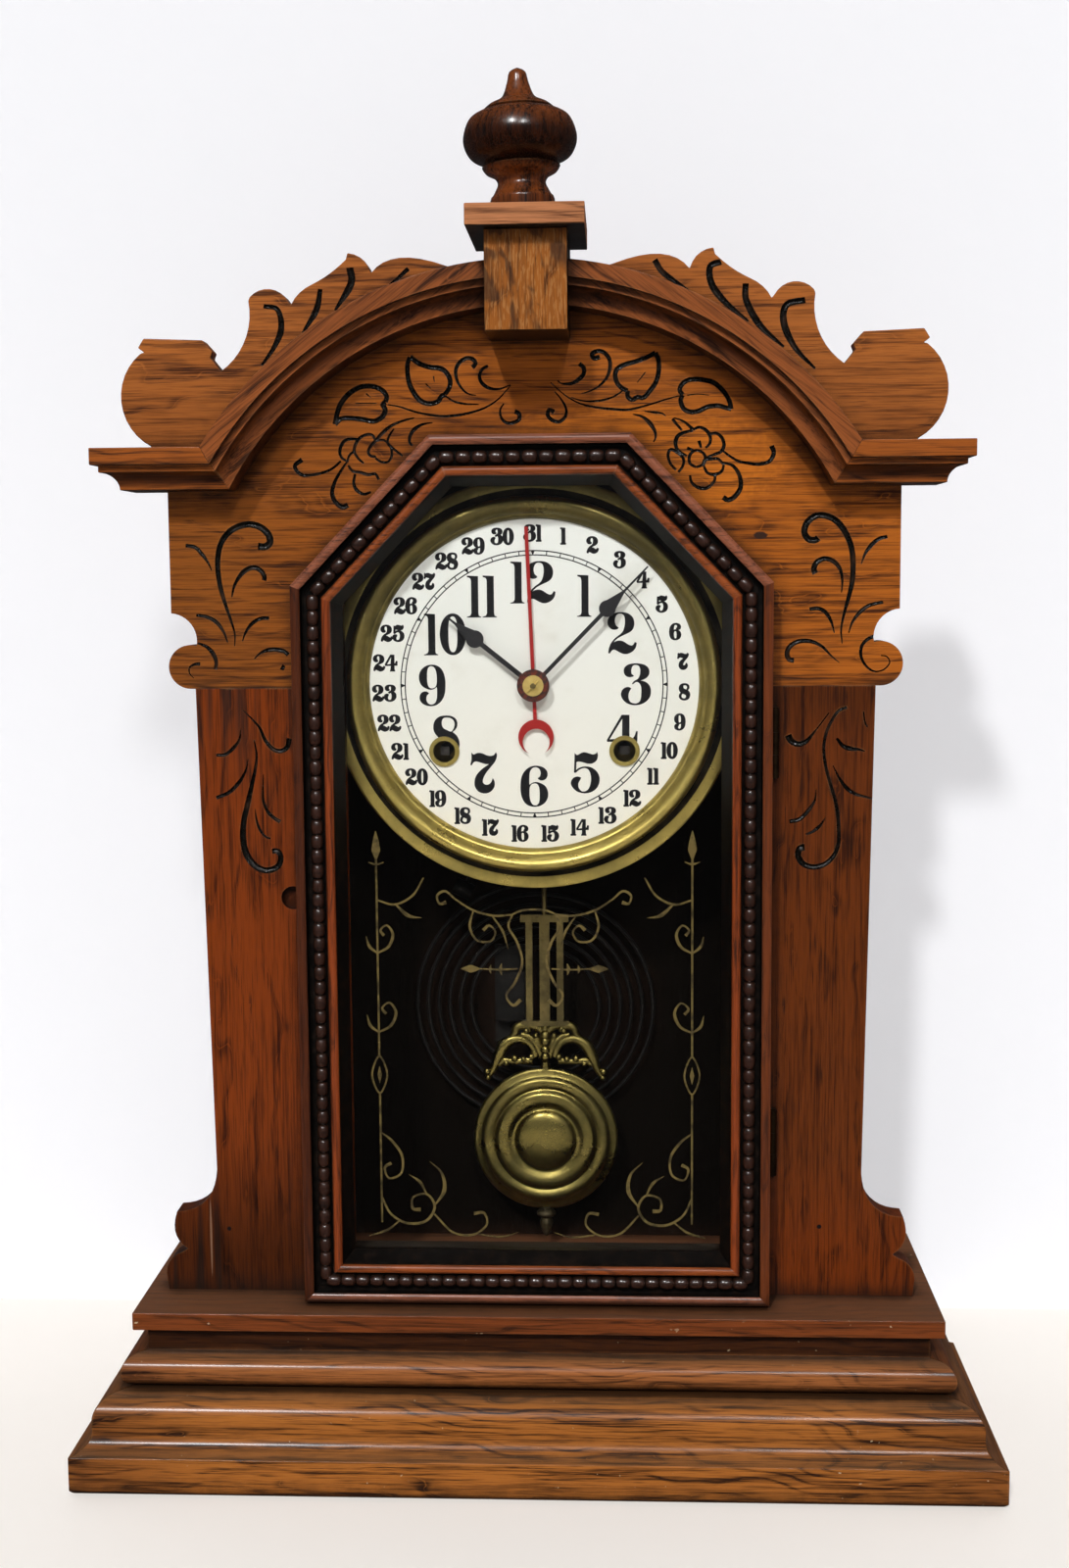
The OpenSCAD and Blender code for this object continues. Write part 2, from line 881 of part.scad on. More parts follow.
// The brass pan: a flange behind the face boards, a rolled bezel and a flat back.
module dial_pan() {
    roll = [80, 5];
    roll_r = 3.5;
    color(brass)
        difference() {
            turned(centre)
                union() {
                    spot(roll)
                        circle(r = roll_r);
                    polygon([[dial_r, dial_y], [dial_r + 0.6, dial_y - 1.4], [77.2, 2.9],
                        [80, 5], [81.4, 7.5], [81.4, face_t], [pan_flange_r, face_t],
                        [pan_flange_r, face_t + pan_t], [80.8, face_t + pan_t], [80.4, 10],
                        [0, 10], [0, dial_y + face_sheet_t], [dial_r, dial_y + face_sheet_t]]);
                }
            bar(centre, 0, 20, date_pipe_out + 0.8);
            for (p = [time_great, strike_great])
                bar(p, 0, 20, grommet_r);
            for (a = screw_angles)
                bar(screw_at(a), 10, 20, 1.1);
        }
}

module dial_face() {
    color("ivory")
        difference() {
            bar(centre, dial_y, dial_y + face_sheet_t, dial_r - 0.05);
            bar(centre, 0, 20, date_pipe_out + 0.8);
            for (p = [time_great, strike_great])
                bar(p, 0, 20, grommet_r);
        }
}

module winding_grommets() {
    lip = 1.4;
    color(brass)
        for (p = [time_great, strike_great])
            turned(p)
                union() {
                    translate([grommet_r - 0.5, dial_y - 0.4])
                        square([0.48, 2]);
                    translate([grommet_r - 0.5, dial_y - 0.8])
                        square([lip + 0.5, 0.8]);
                }
}

screw_angles = [8, 172, 188, 352];
screw_ring = 87.9;
function screw_at(a) = [screw_ring * cos(a), dial_z + screw_ring * sin(a)];

module dial_screws() {
    color(steel)
        for (a = screw_angles) {
            bar(screw_at(a), 5.5, face_t + pan_t + 0.2, 1);
            bar(screw_at(a), face_t + pan_t, face_t + pan_t + 1.4, 2.2);
        }
}

// A hand drawn pointing up, set at its angle on the dial.
module hand(angle, y0, t, bore) {
    slab(y0, t)
        spot(centre)
        difference() {
            rotate(-angle)
                children();
            circle(r = bore);
        }
}

module hand_blade(length, drop_at, drop_r, stem_w) {
    polygon([[-stem_w / 2, 0], [stem_w / 2, 0], [stem_w / 2, drop_at - drop_r],
        [drop_r * 0.85, drop_at - drop_r * 0.5], [drop_r * 0.75, drop_at + drop_r * 0.7],
        [0.55, drop_at + 2.8 * drop_r], [0.35, length], [-0.35, length],
        [-0.55, drop_at + 2.8 * drop_r], [-drop_r * 0.75, drop_at + drop_r * 0.7],
        [-drop_r * 0.85, drop_at - drop_r * 0.5], [-stem_w / 2, drop_at - drop_r]]);
    translate([0, drop_at])
        circle(r = drop_r);
}

date_hand_y = 6.6;
hour_hand_y = 4.5;
minute_hand_y = 2.6;
hand_t = 0.5;

module hour_hand() {
    color("black")
        hand(hour_angle, hour_hand_y, hand_t, hour_pipe_out + 0.02) {
            hand_blade(dial_r * 0.6676, dial_r * 0.4496, 3.9, 2.2);
            circle(r = 6.2);
        }
}

module minute_hand() {
    color("black")
        hand(minute_angle, minute_hand_y, hand_t, spindle_r + 0.02) {
            hand_blade(dial_r * 0.9904, dial_r * 0.6417, 3.7, 1.8);
            circle(r = 7.2);
        }
}

module calendar_hand() {
    moon_r = 7.9;
    color("firebrick")
        hand(date_angle, date_hand_y, hand_t, date_pipe_out + 0.02) {
            translate([-0.8, 0])
                square([1.6, dial_r * 0.951]);
            translate([-0.8, -16.4])
                square([1.6, 16.4]);
            circle(r = 6.4);
            difference() {
                translate([0, -23.2])
                    circle(r = moon_r);
                translate([0, -25.4])
                    circle(r = moon_r * 0.76);
            }
        }
}

module hand_washer() {
    color(brass)
        difference() {
            bar(centre, minute_hand_y - 1, minute_hand_y, 4.6);
            bar(centre, -5, 5, spindle_r + 0.02);
        }
}

taper_y = 0.9;

module taper_pin() {
    color(brass)
        translate([0, face_y + taper_y, dial_z])
        rotate([0, 45, 0])
        translate([0, 0, -3.6])
        cylinder(h = 7.2, r = 0.4);
}

module plate_outline() {
    corner = 6;
    translate([-plate_half, dial_z - 58 + corner])
        square([2 * plate_half, 108 - 2 * corner]);
    translate([-plate_half + corner, dial_z - 58])
        square([2 * plate_half - 2 * corner, 108]);
    for (x = [-1, 1])
        for (z = [dial_z - 58 + corner, dial_z + 50 - corner])
            spot([x * (plate_half - corner), z])
                circle(r = corner);
}

module front_plate() {
    color(brass)
        difference() {
            slab(front_plate_y, plate_t)
                plate_outline();
            bar(centre, 20, 30, spindle_r + run_gap);
            for (p = [second, third, escape, pivot, hammer])
                bar(p, 20, 30, pivot_r + run_gap);
            for (p = [time_great, strike_great])
                bar(p, 20, 30, 3 + run_gap);
            for (p = posts)
                bar(p, 20, 30, 1.6);
            for (p = [minute_stud, day_stud])
                bar(p, 20, 30, 0.9);
        }
    color(steel)
        for (p = [minute_stud, day_stud])
            bar(p, 11.6, front_plate_y + plate_t, 0.9);
}

// The back plate carries the bridge and the pin that the pendulum hangs from.
module back_plate() {
    bridge_y = pend_y + 3;
    color(brass)
        difference() {
            union() {
                slab(back_plate_y, plate_t)
                    plate_outline();
                slab(bridge_y, 1.5)
                    translate([pivot[0] - 15, pivot[1] - 3])
                    square([30, 6]);
                for (s = [-12.5, 12.5])
                    bar([pivot[0] + s, pivot[1]], back_plate_y + 1, bridge_y + 0.5, 2);
                bar(pivot, pend_y - 1.6, bridge_y + 0.5, 1);
            }
            bar(centre, 40, 55, pivot_r + run_gap);
            for (p = [second, third, escape])
                bar(p, 40, 55, pivot_r + run_gap);
            for (p = [pivot, hammer])
                bar(p, 40, 53, arbor_r + run_gap);
            for (p = [time_great, strike_great])
                bar(p, 40, 55, 1.5 + run_gap);
            for (p = posts)
                bar(p, 40, 55, 2);
        }
}

// Turned posts: feet on the back board, shoulders for both plates, nuts in front.
module plate_pillars() {
    color(brass)
        for (p = posts)
            turned(p)
                polygon([[0, front_plate_y - 3], [1.6, front_plate_y - 3],
                    [1.6, front_plate_y - 2], [3.2, front_plate_y - 2], [3.2, front_plate_y],
                    [1.6, front_plate_y], [1.6, front_plate_y + plate_t],
                    [post_r, front_plate_y + plate_t], [post_r, back_plate_y],
                    [2, back_plate_y], [2, back_plate_y + plate_t],
                    [post_r, back_plate_y + plate_t], [post_r, back_y - 2], [5, back_y - 2],
                    [5, back_y], [0, back_y]]);
}

// Each wound mainspring fills a ring, and its outer end loops round a post.
module mainsprings() {
    spring_y = front_plate_y + plate_t + 1.4;
    spring_w = great_y - 0.8 - spring_y;
    color(steel)
        for (k = [[time_great, posts[3]], [strike_great, posts[2]]])
            slab(spring_y, spring_w)
                difference() {
                    union() {
                        spot(k[0])
                            circle(r = spring_r);
                        spot(k[0])
                            rotate(bearing(k[0], k[1]))
                            translate([spring_r - 3, 1.5])
                            square([norm(k[1] - k[0]) - spring_r + 3, 1.8]);
                        spot(k[1])
                            circle(r = post_r + 1.2);
                    }
                    spot(k[0])
                        circle(r = spring_hub_r);
                    spot(k[1])
                        circle(r = post_r + 0.02);
                }
}

hub_r = 3.5;

// A great wheel runs free on the winding arbor and carries its click.
module great_wheel(p, a) {
    color(brass) {
        spoked_wheel(p, great_teeth, great_module, a, great_y, 1.8, hub_r + run_gap, 11);
        slab(great_y + 1.8, 1.6)
            spot(p)
            polygon([[-1, 10.6], [4.4, 9.55], [5, 10.9], [-0.6, 12.8]]);
    }
}

// The square, the front journal, the hub in the spring, the ratchet and the rear journal.
module winding_arbor(p) {
    square_w = 4;
    front_end = 12.4;
    color(steel) {
        slab(front_end, front_plate_y - 1.5 - front_end)
            spot(p)
            square(square_w, center = true);
        bar(p, front_plate_y - 1.6, front_plate_y + plate_t + 0.4, 3);
        bar(p, front_plate_y + plate_t + 0.3, great_y + 2.2, hub_r);
        bar(p, great_y + 2, back_plate_y - 0.3, 2.4);
        bar(p, back_plate_y - 0.4, back_plate_y + plate_t + 0.4, 1.5);
        slab(great_y + 2.2, 1.2)
            spot(p)
            ratchet_outline(20, 9.2, 8);
    }
}

module time_great_wheel() {
    great_wheel(time_great, bearing(time_great, second));
}

module strike_great_wheel() {
    great_wheel(strike_great, 0);
}

module time_winding_arbor() {
    winding_arbor(time_great);
}

module strike_winding_arbor() {
    winding_arbor(strike_great);
}

// An arbor with its two pivots in the plates.
module arbor(p) {
    bar(p, front_plate_y + 0.2, back_plate_y + plate_t - 0.2, pivot_r);
    bar(p, front_plate_y + plate_t + 0.2, back_plate_y - 0.2, arbor_r);
}

module second_wheel() {
    to_great = bearing(second, time_great);
    to_centre = bearing(second, centre);
    color(steel) {
        arbor(second);
        slab(great_y - 0.4, 2.6)
            spot(second)
            gear_outline(second_leaves, great_module, to_great + 180 / second_leaves);
    }
    color(brass)
        spoked_wheel(second, second_teeth, second_module, to_centre, second_y, 1.2,
            arbor_r - 0.01, 4);
}

// The centre arbor carries the centre wheel and the cannon pinion of the motion work.
module centre_wheel() {
    color(steel) {
        difference() {
            union() {
                bar(centre, -1.4, back_plate_y - 0.2, spindle_r);
                bar(centre, minute_hand_y + hand_t, front_plate_y - 3.8, cannon_r);
            }
            translate([0, face_y + taper_y, dial_z])
                rotate([0, 45, 0])
                translate([0, 0, -3])
                cylinder(h = 6, r = 0.42);
        }
        bar(centre, back_plate_y - 0.3, back_plate_y + plate_t - 0.2, pivot_r);
        slab(second_y - 0.5, 2.2)
            spot(centre)
            gear_outline(centre_leaves, second_module,
                bearing(centre, second) + 180 / centre_leaves);
        slab(front_plate_y - 6.2, 1.8)
            spot(centre)
            gear_outline(12, 0.5, bearing(centre, minute_stud));
    }
    color(brass)
        spoked_wheel(centre, centre_teeth, centre_module, bearing(centre, third), centre_y, 1.2,
            spindle_r - 0.01, 4.5);
}

module third_wheel() {
    color(steel) {
        arbor(third);
        slab(centre_y - 1, 3.2)
            spot(third)
            gear_outline(third_leaves, centre_module,
                bearing(third, centre) + 180 / third_leaves);
    }
    color(brass)
        spoked_wheel(third, third_teeth, third_module, bearing(third, escape), third_y, 1,
            arbor_r - 0.01, 3);
}

module escape_wheel() {
    color(steel) {
        arbor(escape);
        slab(third_y - 1, 3)
            spot(escape)
            gear_outline(escape_leaves, third_module,
                bearing(escape, third) + 180 / escape_leaves);
    }
    color(brass)
        slab(escape_y, 1)
            spot(escape)
            difference() {
                ratchet_outline(escape_teeth, escape_r, escape_r - 1.1);
                circle(r = arbor_r - 0.01);
                difference() {
                    circle(r = escape_r - 2.4);
                    circle(r = 2.8);
                    for (k = [0 : 1])
                        rotate(k * 90 + 45)
                            square([2 * escape_r, 1.2], center = true);
                }
            }
}

module minute_wheel() {
    color(brass)
        difference() {
            union() {
                slab(front_plate_y - 6, 1.2)
                    spot(minute_stud)
                    gear_outline(36, 0.5, bearing(minute_stud, centre) + 180 / 36);
                slab(front_plate_y - 9.7, 3.8)
                    spot(minute_stud)
                    gear_outline(10, 0.48, bearing(minute_stud, centre) + 180 / 10);
            }
            bar(minute_stud, 0, 30, 0.9 + run_gap);
        }
}

module hour_wheel() {
    pipe_end = front_plate_y - 6.6;
    color(brass)
        difference() {
            union() {
                bar(centre, hour_hand_y - 0.2, pipe_end, hour_pipe_out);
                slab(front_plate_y - 9.3, 1.4)
                    spot(centre)
                    gear_outline(40, 0.48, bearing(centre, minute_stud));
                slab(front_plate_y - 10.9, 1.3)
                    spot(centre)
                    gear_outline(16, 0.5, bearing(centre, day_stud));
            }
            bar(centre, 0, 30, hour_pipe_in);
        }
}

// The day wheel turns once in twenty-four hours and carries the pin that moves the date.
module day_wheel() {
    color(brass)
        difference() {
            union() {
                slab(front_plate_y - 10.8, 1.1)
                    spot(day_stud)
                    gear_outline(32, 0.5, bearing(day_stud, centre) + 180 / 32);
                bar([day_stud[0] - 4, day_stud[1] + 5], front_plate_y - 12.2,
                    front_plate_y - 10.7, 0.7);
            }
            bar(day_stud, 0, 30, 0.9 + run_gap);
        }
}

module calendar_wheel() {
    color(brass)
        difference() {
            union() {
                bar(centre, date_hand_y - 0.2, front_plate_y - 11.2, date_pipe_out);
                slab(front_plate_y - 12.4, 0.8)
                    spot(centre)
                    ratchet_outline(31, 10.2, 9);
            }
            bar(centre, 0, 30, date_pipe_in);
        }
}

crutch_y = back_plate_y + plate_t + 1;
fork_z = pivot[1] - 46;

// Pallets inside the plates, the arbor, and the crutch whose fork holds the pendulum rod.
module verge() {
    reach = escape_r + 0.9;
    nib_a = 48;
    nib = [reach * sin(nib_a), reach * cos(nib_a) - escape_drop];
    color(steel) {
        bar(pivot, front_plate_y + 0.2, front_plate_y + plate_t + 1, pivot_r);
        bar(pivot, front_plate_y + plate_t + 0.3, crutch_y + 1, arbor_r);
        slab(escape_y - 0.1, 1.2)
            spot(pivot) {
                difference() {
                    circle(r = 2.4);
                    circle(r = arbor_r - 0.01);
                }
                for (s = [-1, 1])
                    polygon([[s * 1.1, 1.3], [s * (nib[0] + 1.8), nib[1] + 1.2],
                        [s * nib[0], nib[1]], [s * (nib[0] - 0.2), nib[1] + 1],
                        [s * 1.6, -1.2]]);
            }
        slab(crutch_y, 1)
            spot(pivot)
            difference() {
                union() {
                    circle(r = 2);
                    translate([-0.6, fork_z - pivot[1]])
                        square([1.2, pivot[1] - fork_z]);
                    translate([-3.2, fork_z - pivot[1] - 1])
                        square([6.4, 1.6]);
                }
                circle(r = arbor_r - 0.01);
            }
        for (s = [-1, 1])
            bar([pivot[0] + s * 2.5, fork_z - 0.2], crutch_y + 0.5, pend_y + 2.2, 0.7);
    }
}

rod_r = 1.3;
bars_top = 238;
bars_low = 184;

module pendulum_rod() {
    color(brass) {
        difference() {
            slab(pend_y - 1.2, 2.4)
                spot(pivot) {
                    circle(r = 2.2);
                    translate([-1.2, -4])
                        square([2.4, 4]);
                }
            bar(pivot, pend_y - 3, pend_y + 3, 1 + run_gap);
        }
        translate([pivot[0], face_y + pend_y, bars_top])
            cylinder(h = pivot[1] - 11 - bars_top, r = rod_r);
        slab(pend_y - 1.5, 3)
            translate([pend_x - 11.5, bars_top - 3.4])
            square([23, 3.6]);
        slab(pend_y - 1.5, 3)
            translate([pend_x - 11.5, bars_low])
            square([23, 2.4]);
        slab(pend_y - 1.2, 2.4) {
            translate([pend_x - 2.4, bars_low])
                square([4.8, bars_top - bars_low]);
            for (s = [-7.4, 7.4])
                translate([pend_x + s - 1.6, bars_low])
                    square([3.2, bars_top - bars_low]);
        }
    }
    color(steel)
        slab(pend_y - 1.1, 2.2)
        translate([pivot[0] - 0.15, pivot[1] - 12])
        square([0.3, 9]);
}

// The pressed bob, the cast crown above it and the turned drop below it.
module pendulum_bob() {
    at = [pend_x, bob_z];
    color(brass) {
        turned(at)
            polygon(concat([[0, pend_y - 7]],
                [for (i = [0 : 8]) [14.5 * sin(i * 10.6), pend_y - 3.4 - 3.6 * cos(i * 10.6)]],
                [[16.5, pend_y - 3.6], [18.5, pend_y - 4.8], [23.6, pend_y - 4.4],
                [24.6, pend_y - 3.2], [27.5, pend_y - 3.8], [30.2, pend_y - 3.2],
                [31, pend_y - 2], [bob_r - 0.8, pend_y - 1.6], [bob_r, pend_y - 0.6],
                [bob_r, pend_y + 0.8], [bob_r - 3, pend_y + 2.6], [0, pend_y + 4.4]]));
        difference() {
            slab(pend_y - 1.4, 2.8)
                difference() {
                    translate([pend_x, bob_z])
                        crown_outline();
                    translate([pend_x, bob_z])
                        circle(r = bob_r - 1);
                }
            turned(at)
                square([bob_r + 0.02, 200]);
        }
        translate([pend_x, face_y + pend_y, bob_z - bob_r])
            rotate_extrude()
            polygon([[0, 1.2], [2.6, 1.2], [2.6, -0.6], [4.6, -1.8], [4.6, -3], [2.4, -4.4],
                [3.2, -6.4], [2.6, -9], [1, -13.6], [0, -14]]);
    }
}

module crown_outline() {
    rise = bars_low - bob_z;
    polygon([[-29, bob_r - 6], [-29.6, bob_r - 10], [-24, bob_r - 12], [24, bob_r - 12],
        [29.6, bob_r - 10], [29, bob_r - 6], [21, rise - 7.5], [12.5, rise - 5], [11, rise],
        [-11, rise], [-12.5, rise - 5], [-21, rise - 7.5]]);
}

// The hammer lies against its stop beside the gong and lifts away from it.
module strike_hammer() {
    head = [gong_x, gong_z] + (gong_r + 7.5) * [cos(122), sin(122)];
    way = bearing(hammer, head);
    arm = norm(head - hammer);
    color(steel) {
        bar(hammer, front_plate_y + 0.2, front_plate_y + plate_t + 1, pivot_r);
        bar(hammer, front_plate_y + plate_t + 0.3, gong_y + 0.8, arbor_r);
        translate([hammer[0], face_y + gong_y, hammer[1]])
            rotate([0, 90 - way, 0])
            cylinder(h = arm, r = 0.9);
    }
    color(iron)
        translate([head[0], face_y + gong_y, head[1]])
        rotate([0, 180 - way, 0])
        translate([0, 0, -4.5])
        cylinder(h = 9, r = 4);
}

gong_rings = 24;
gong_sides = 6;
gong_steps = gong_turns * gong_rings;
wire_r = gong_wire / 2;

// The wire's middle line: a flat spiral, a bend, and a straight run into the stand.
function gong_path() = let (z = gong_inner_r - gong_bend, top = stand_at[1] + stand_h / 2)
    concat([for (i = [0 : gong_steps])
            let (r = gong_r + (gong_inner_r - gong_r) * i / gong_steps, a = 90 + i * 360 / gong_rings)
            r * [cos(a), sin(a)]],
        [for (i = [1 : 6]) [-gong_bend * sin(i * 15), z + gong_bend * cos(i * 15)]],
        [[-gong_bend, (z + top) / 2], [-gong_bend, top - 0.5]]);

function way_at(path, i) = let (n = len(path), a = path[max(0, i - 1)], b = path[min(n - 1, i + 1)])
    (b - a) / norm(b - a);

module gong_coil() {
    path = gong_path();
    n = len(path);
    apart = gong_rings / 2;
    gaps = [for (i = [0 : n - 1]) for (j = [i + apart : 1 : n - 1])
        norm(path[i] - path[j]) - gong_wire];
    echo("least gap of the gong to itself", min(gaps));
    points = [for (i = [0 : n - 1]) let (w = i == n - 1 ? [0, -1] : way_at(path, i))
        for (k = [0 : gong_sides - 1])
            [path[i][0] - w[1] * wire_r * cos(k * 60), wire_r * sin(k * 60),
            path[i][1] + w[0] * wire_r * cos(k * 60)]];
    sides = [for (i = [0 : n - 2]) for (k = [0 : gong_sides - 1])
        let (a = i * gong_sides + k, b = i * gong_sides + (k + 1) % gong_sides)
        for (f = [[a, b, b + gong_sides], [a, b + gong_sides, a + gong_sides]]) f];
    last = (n - 1) * gong_sides;
    caps = [for (k = [1 : gong_sides - 2])
        for (f = [[0, k + 1, k], [last, last + k, last + k + 1]]) f];
    color(iron)
        translate([gong_x, face_y + gong_y, gong_z])
        polyhedron(points = points, faces = [for (f = concat(sides, caps)) [f[2], f[1], f[0]]]);
}

module gong_stand() {
    top = stand_at[1] + stand_h / 2;
    color(iron)
        translate([gong_x, face_y + back_y, gong_z])
        difference() {
            translate([stand_at[0], 0, stand_at[1]]) {
                translate([-stand_w / 2, -10, -stand_h / 2])
                    cube([stand_w, 10, stand_h]);
                translate([-stand_w / 2 - 1, -2.5, -stand_h / 2 - 12])
                    cube([stand_w + 2, 2.5, stand_h + 24]);
            }
            translate([-gong_bend, gong_y - back_y, top - 0.6])
                cylinder(h = 2, r = wire_r);
        }
}

base_front_moulding();
base_side_mouldings();
base_back_rail();
neck_front_moulding();
neck_side_mouldings();
plinth_board();
case_sides();
case_top();
case_back();
pillar_left();
pillar_right();
sill_rail();
upper_board();
crest_board();
arch_mouldings();
cornice_ends();
keystone_block();
cap_plate();
finial();
door_bottom_rail();
door_stile_left();
door_stile_right();
door_corner_rails();
door_top_rail();
door_glass();
glass_beads();
door_hinge_leaves();
case_hinge_leaves();
hinge_pins();
dial_pan();
dial_face();
winding_grommets();
dial_screws();
hour_hand();
minute_hand();
calendar_hand();
hand_washer();
taper_pin();
front_plate();
back_plate();
plate_pillars();
mainsprings();
time_great_wheel();
time_winding_arbor();
strike_great_wheel();
strike_winding_arbor();
second_wheel();
centre_wheel();
third_wheel();
escape_wheel();
minute_wheel();
hour_wheel();
day_wheel();
calendar_wheel();
verge();
pendulum_rod();
pendulum_bob();
strike_hammer();
gong_coil();
gong_stand();
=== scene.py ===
import math

import bmesh
import bpy
from mathutils import Matrix, Vector, geometry


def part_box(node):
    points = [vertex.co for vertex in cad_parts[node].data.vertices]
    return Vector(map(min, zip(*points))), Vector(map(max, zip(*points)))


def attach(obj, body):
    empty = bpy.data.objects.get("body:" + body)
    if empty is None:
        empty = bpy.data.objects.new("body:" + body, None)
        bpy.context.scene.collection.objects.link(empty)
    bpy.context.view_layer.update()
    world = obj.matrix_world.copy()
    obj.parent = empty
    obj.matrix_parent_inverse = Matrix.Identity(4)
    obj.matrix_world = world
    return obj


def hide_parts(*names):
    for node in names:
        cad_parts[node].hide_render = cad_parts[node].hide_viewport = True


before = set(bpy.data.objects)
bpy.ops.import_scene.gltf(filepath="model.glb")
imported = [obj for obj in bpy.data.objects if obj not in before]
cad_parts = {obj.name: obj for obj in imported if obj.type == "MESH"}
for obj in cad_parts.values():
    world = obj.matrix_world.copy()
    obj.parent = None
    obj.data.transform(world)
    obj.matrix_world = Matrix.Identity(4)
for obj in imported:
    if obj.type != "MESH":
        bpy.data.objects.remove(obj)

bpy.context.view_layer.update()

scene = bpy.context.scene
scene.view_settings.view_transform = "Standard"

MM = 0.001
FACE = -14.8  # front of the face boards, in millimetres
OUT = Vector((0, 1, 0))  # straight through the clock, from front to back


# Workshop tools
def placed(name, data):
    """A mesh, lamp or camera as an object in the scene."""
    made = bpy.data.objects.new(name, data)
    scene.collection.objects.link(made)
    return made


def add_piece(name, mesh, body, slot, *stands_for):
    """Puts a mesh, already in its place, on a CAD body."""
    piece = placed(name, mesh)
    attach(piece, body)
    if stands_for:
        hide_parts(*stands_for)


def to_mesh(bm, name, *materials):
    """Turns a bmesh into a mesh with its materials, and lets the bmesh go."""
    mesh = bpy.data.meshes.new(name)
    bm.normal_update()
    bm.to_mesh(mesh)
    bm.free()
    for m in materials:
        mesh.materials.append(m)
    return mesh


def as_mesh(bench):
    """An object's plain mesh after its modifiers."""
    seen = bench.evaluated_get(bpy.context.evaluated_depsgraph_get())
    return bpy.data.meshes.new_from_object(seen)


def shade_crisply(mesh, degrees):
    """Smooth faces, but sharp edges where faces meet at more than an angle."""
    mesh.shade_smooth()
    mesh.set_sharp_from_angle(angle=math.radians(degrees))


def settled(mesh, degrees=32, weigh=True, cutters=()):
    """Smooth shading with crisp edges, after any cutters have carved the mesh."""
    shade_crisply(mesh, degrees)
    bench = placed("bench", mesh)
    for cutter in cutters:
        cut = bench.modifiers.new("cut", "BOOLEAN")
        cut.operation = "DIFFERENCE"
        cut.solver = "MANIFOLD"
        cut.object = cutter
    if cutters:
        mesh = as_mesh(bench)
        bench.modifiers.clear()
        for cutter in cutters:
            bpy.data.objects.remove(cutter)
        bench.data = mesh
        shade_crisply(mesh, degrees)
    if weigh:
        even = bench.modifiers.new("even", "WEIGHTED_NORMAL")
        even.keep_sharp = True
        mesh = as_mesh(bench)
    bpy.data.objects.remove(bench)
    return mesh


def closed_mesh(bm, name, *materials):
    """A mesh whose faces all point outwards."""
    bmesh.ops.recalc_face_normals(bm, faces=bm.faces)
    return to_mesh(bm, name, *materials)


def shape_of(node, flat=True):
    """A CAD node's shape as one closed skin."""
    bm = bmesh.new()
    bm.from_mesh(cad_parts[node].data)
    bmesh.ops.remove_doubles(bm, verts=bm.verts, dist=2e-6)
    if flat:
        nearly_flat = math.radians(0.5)
        bmesh.ops.dissolve_limit(bm, angle_limit=nearly_flat, verts=bm.verts, edges=bm.edges)
    for face in bm.faces:
        face.material_index = 0
    return bm


def ease(bm, width):
    """Rounds the sharp edges by a hand-sanding width, in millimetres."""
    sharp = math.radians(25)
    edges = [e for e in bm.edges if e.is_manifold and e.calc_face_angle(0) > sharp]
    if edges:
        bmesh.ops.bevel(
            bm,
            geom=edges,
            offset=width * MM,
            offset_type="OFFSET",
            segments=2,
            profile=0.5,
            affect="EDGES",
            clamp_overlap=True,
        )
    return bm


def dressed(node, body, slot, material, width=0.4, cutters=(), extra=(), flat=True):
    """A CAD node's shape with eased edges, smooth faces and any carving."""
    bm = shape_of(node, flat)
    if width:
        ease(bm, width)
    mesh = settled(to_mesh(bm, node, material, *extra), cutters=cutters)
    add_piece(node + "_dressed", mesh, body, slot, node)


def smooth_line(points, step):
    """A smooth line through points, as (place, share of the way)."""
    pts = [Vector(p) for p in points]
    closed = (pts[0] - pts[-1]).length < 1e-6
    if closed:
        pts = [pts[-2]] + pts + [pts[1]]
    else:
        pts = [2 * pts[0] - pts[1]] + pts + [2 * pts[-1] - pts[-2]]
    line = []
    for a, b, c, d in zip(pts, pts[1:], pts[2:], pts[3:]):
        n = max(2, int((c - b).length / step))
        for i in range(n):
            t = i / n
            square = 2 * a - 5 * b + 4 * c - d
            cube = 3 * b - a - 3 * c + d
            line.append(0.5 * (2 * b + (c - a) * t + square * t * t + cube * t**3))
    line.append(pts[-2])
    run = [0.0]
    for p, q in zip(line, line[1:]):
        run.append(run[-1] + (q - p).length)
    return [(p, s / run[-1]) for p, s in zip(line, run)]


def heading(line, i):
    """The way a smooth line runs at its place i."""
    return (line[min(i + 1, len(line) - 1)][0] - line[max(i - 1, 0)][0]).normalized()


def between(values, share):
    """Reads a list of values at a share of its length."""
    if len(values) == 1:
        return values[0]
    at = min(share, 0.99999) * (len(values) - 1)
    i = int(at)
    return values[i] + (values[i + 1] - values[i]) * (at - i)


def polar(radius, degrees):
    """A place on a circle, as (across, up), from its right side anticlockwise."""
    turn = math.radians(degrees)
    return radius * math.cos(turn), radius * math.sin(turn)


def tube(bm, rings, material=0):
    """Closes a run of rings of places into a skin with two end faces."""
    loops = [[bm.verts.new(p) for p in ring] for ring in rings]
    n = len(loops[0])
    made = []
    for a, b in zip(loops, loops[1:]):
        for i in range(n):
            j = (i + 1) % n
            made.append(bm.faces.new((a[i], a[j], b[j], b[i])))
    made.append(bm.faces.new(list(reversed(loops[0]))))
    made.append(bm.faces.new(loops[-1]))
    for face in made:
        face.material_index = material
        face.smooth = True


def oval(at, across, out, a, b, sides):
    """Places round an ellipse, a along across and b along out, in metres."""
    ring = []
    for i in range(sides):
        turn = 2 * math.pi * i / sides
        ring.append((at + across * (a * math.cos(turn)) + out * (b * math.sin(turn))) * MM)
    return ring


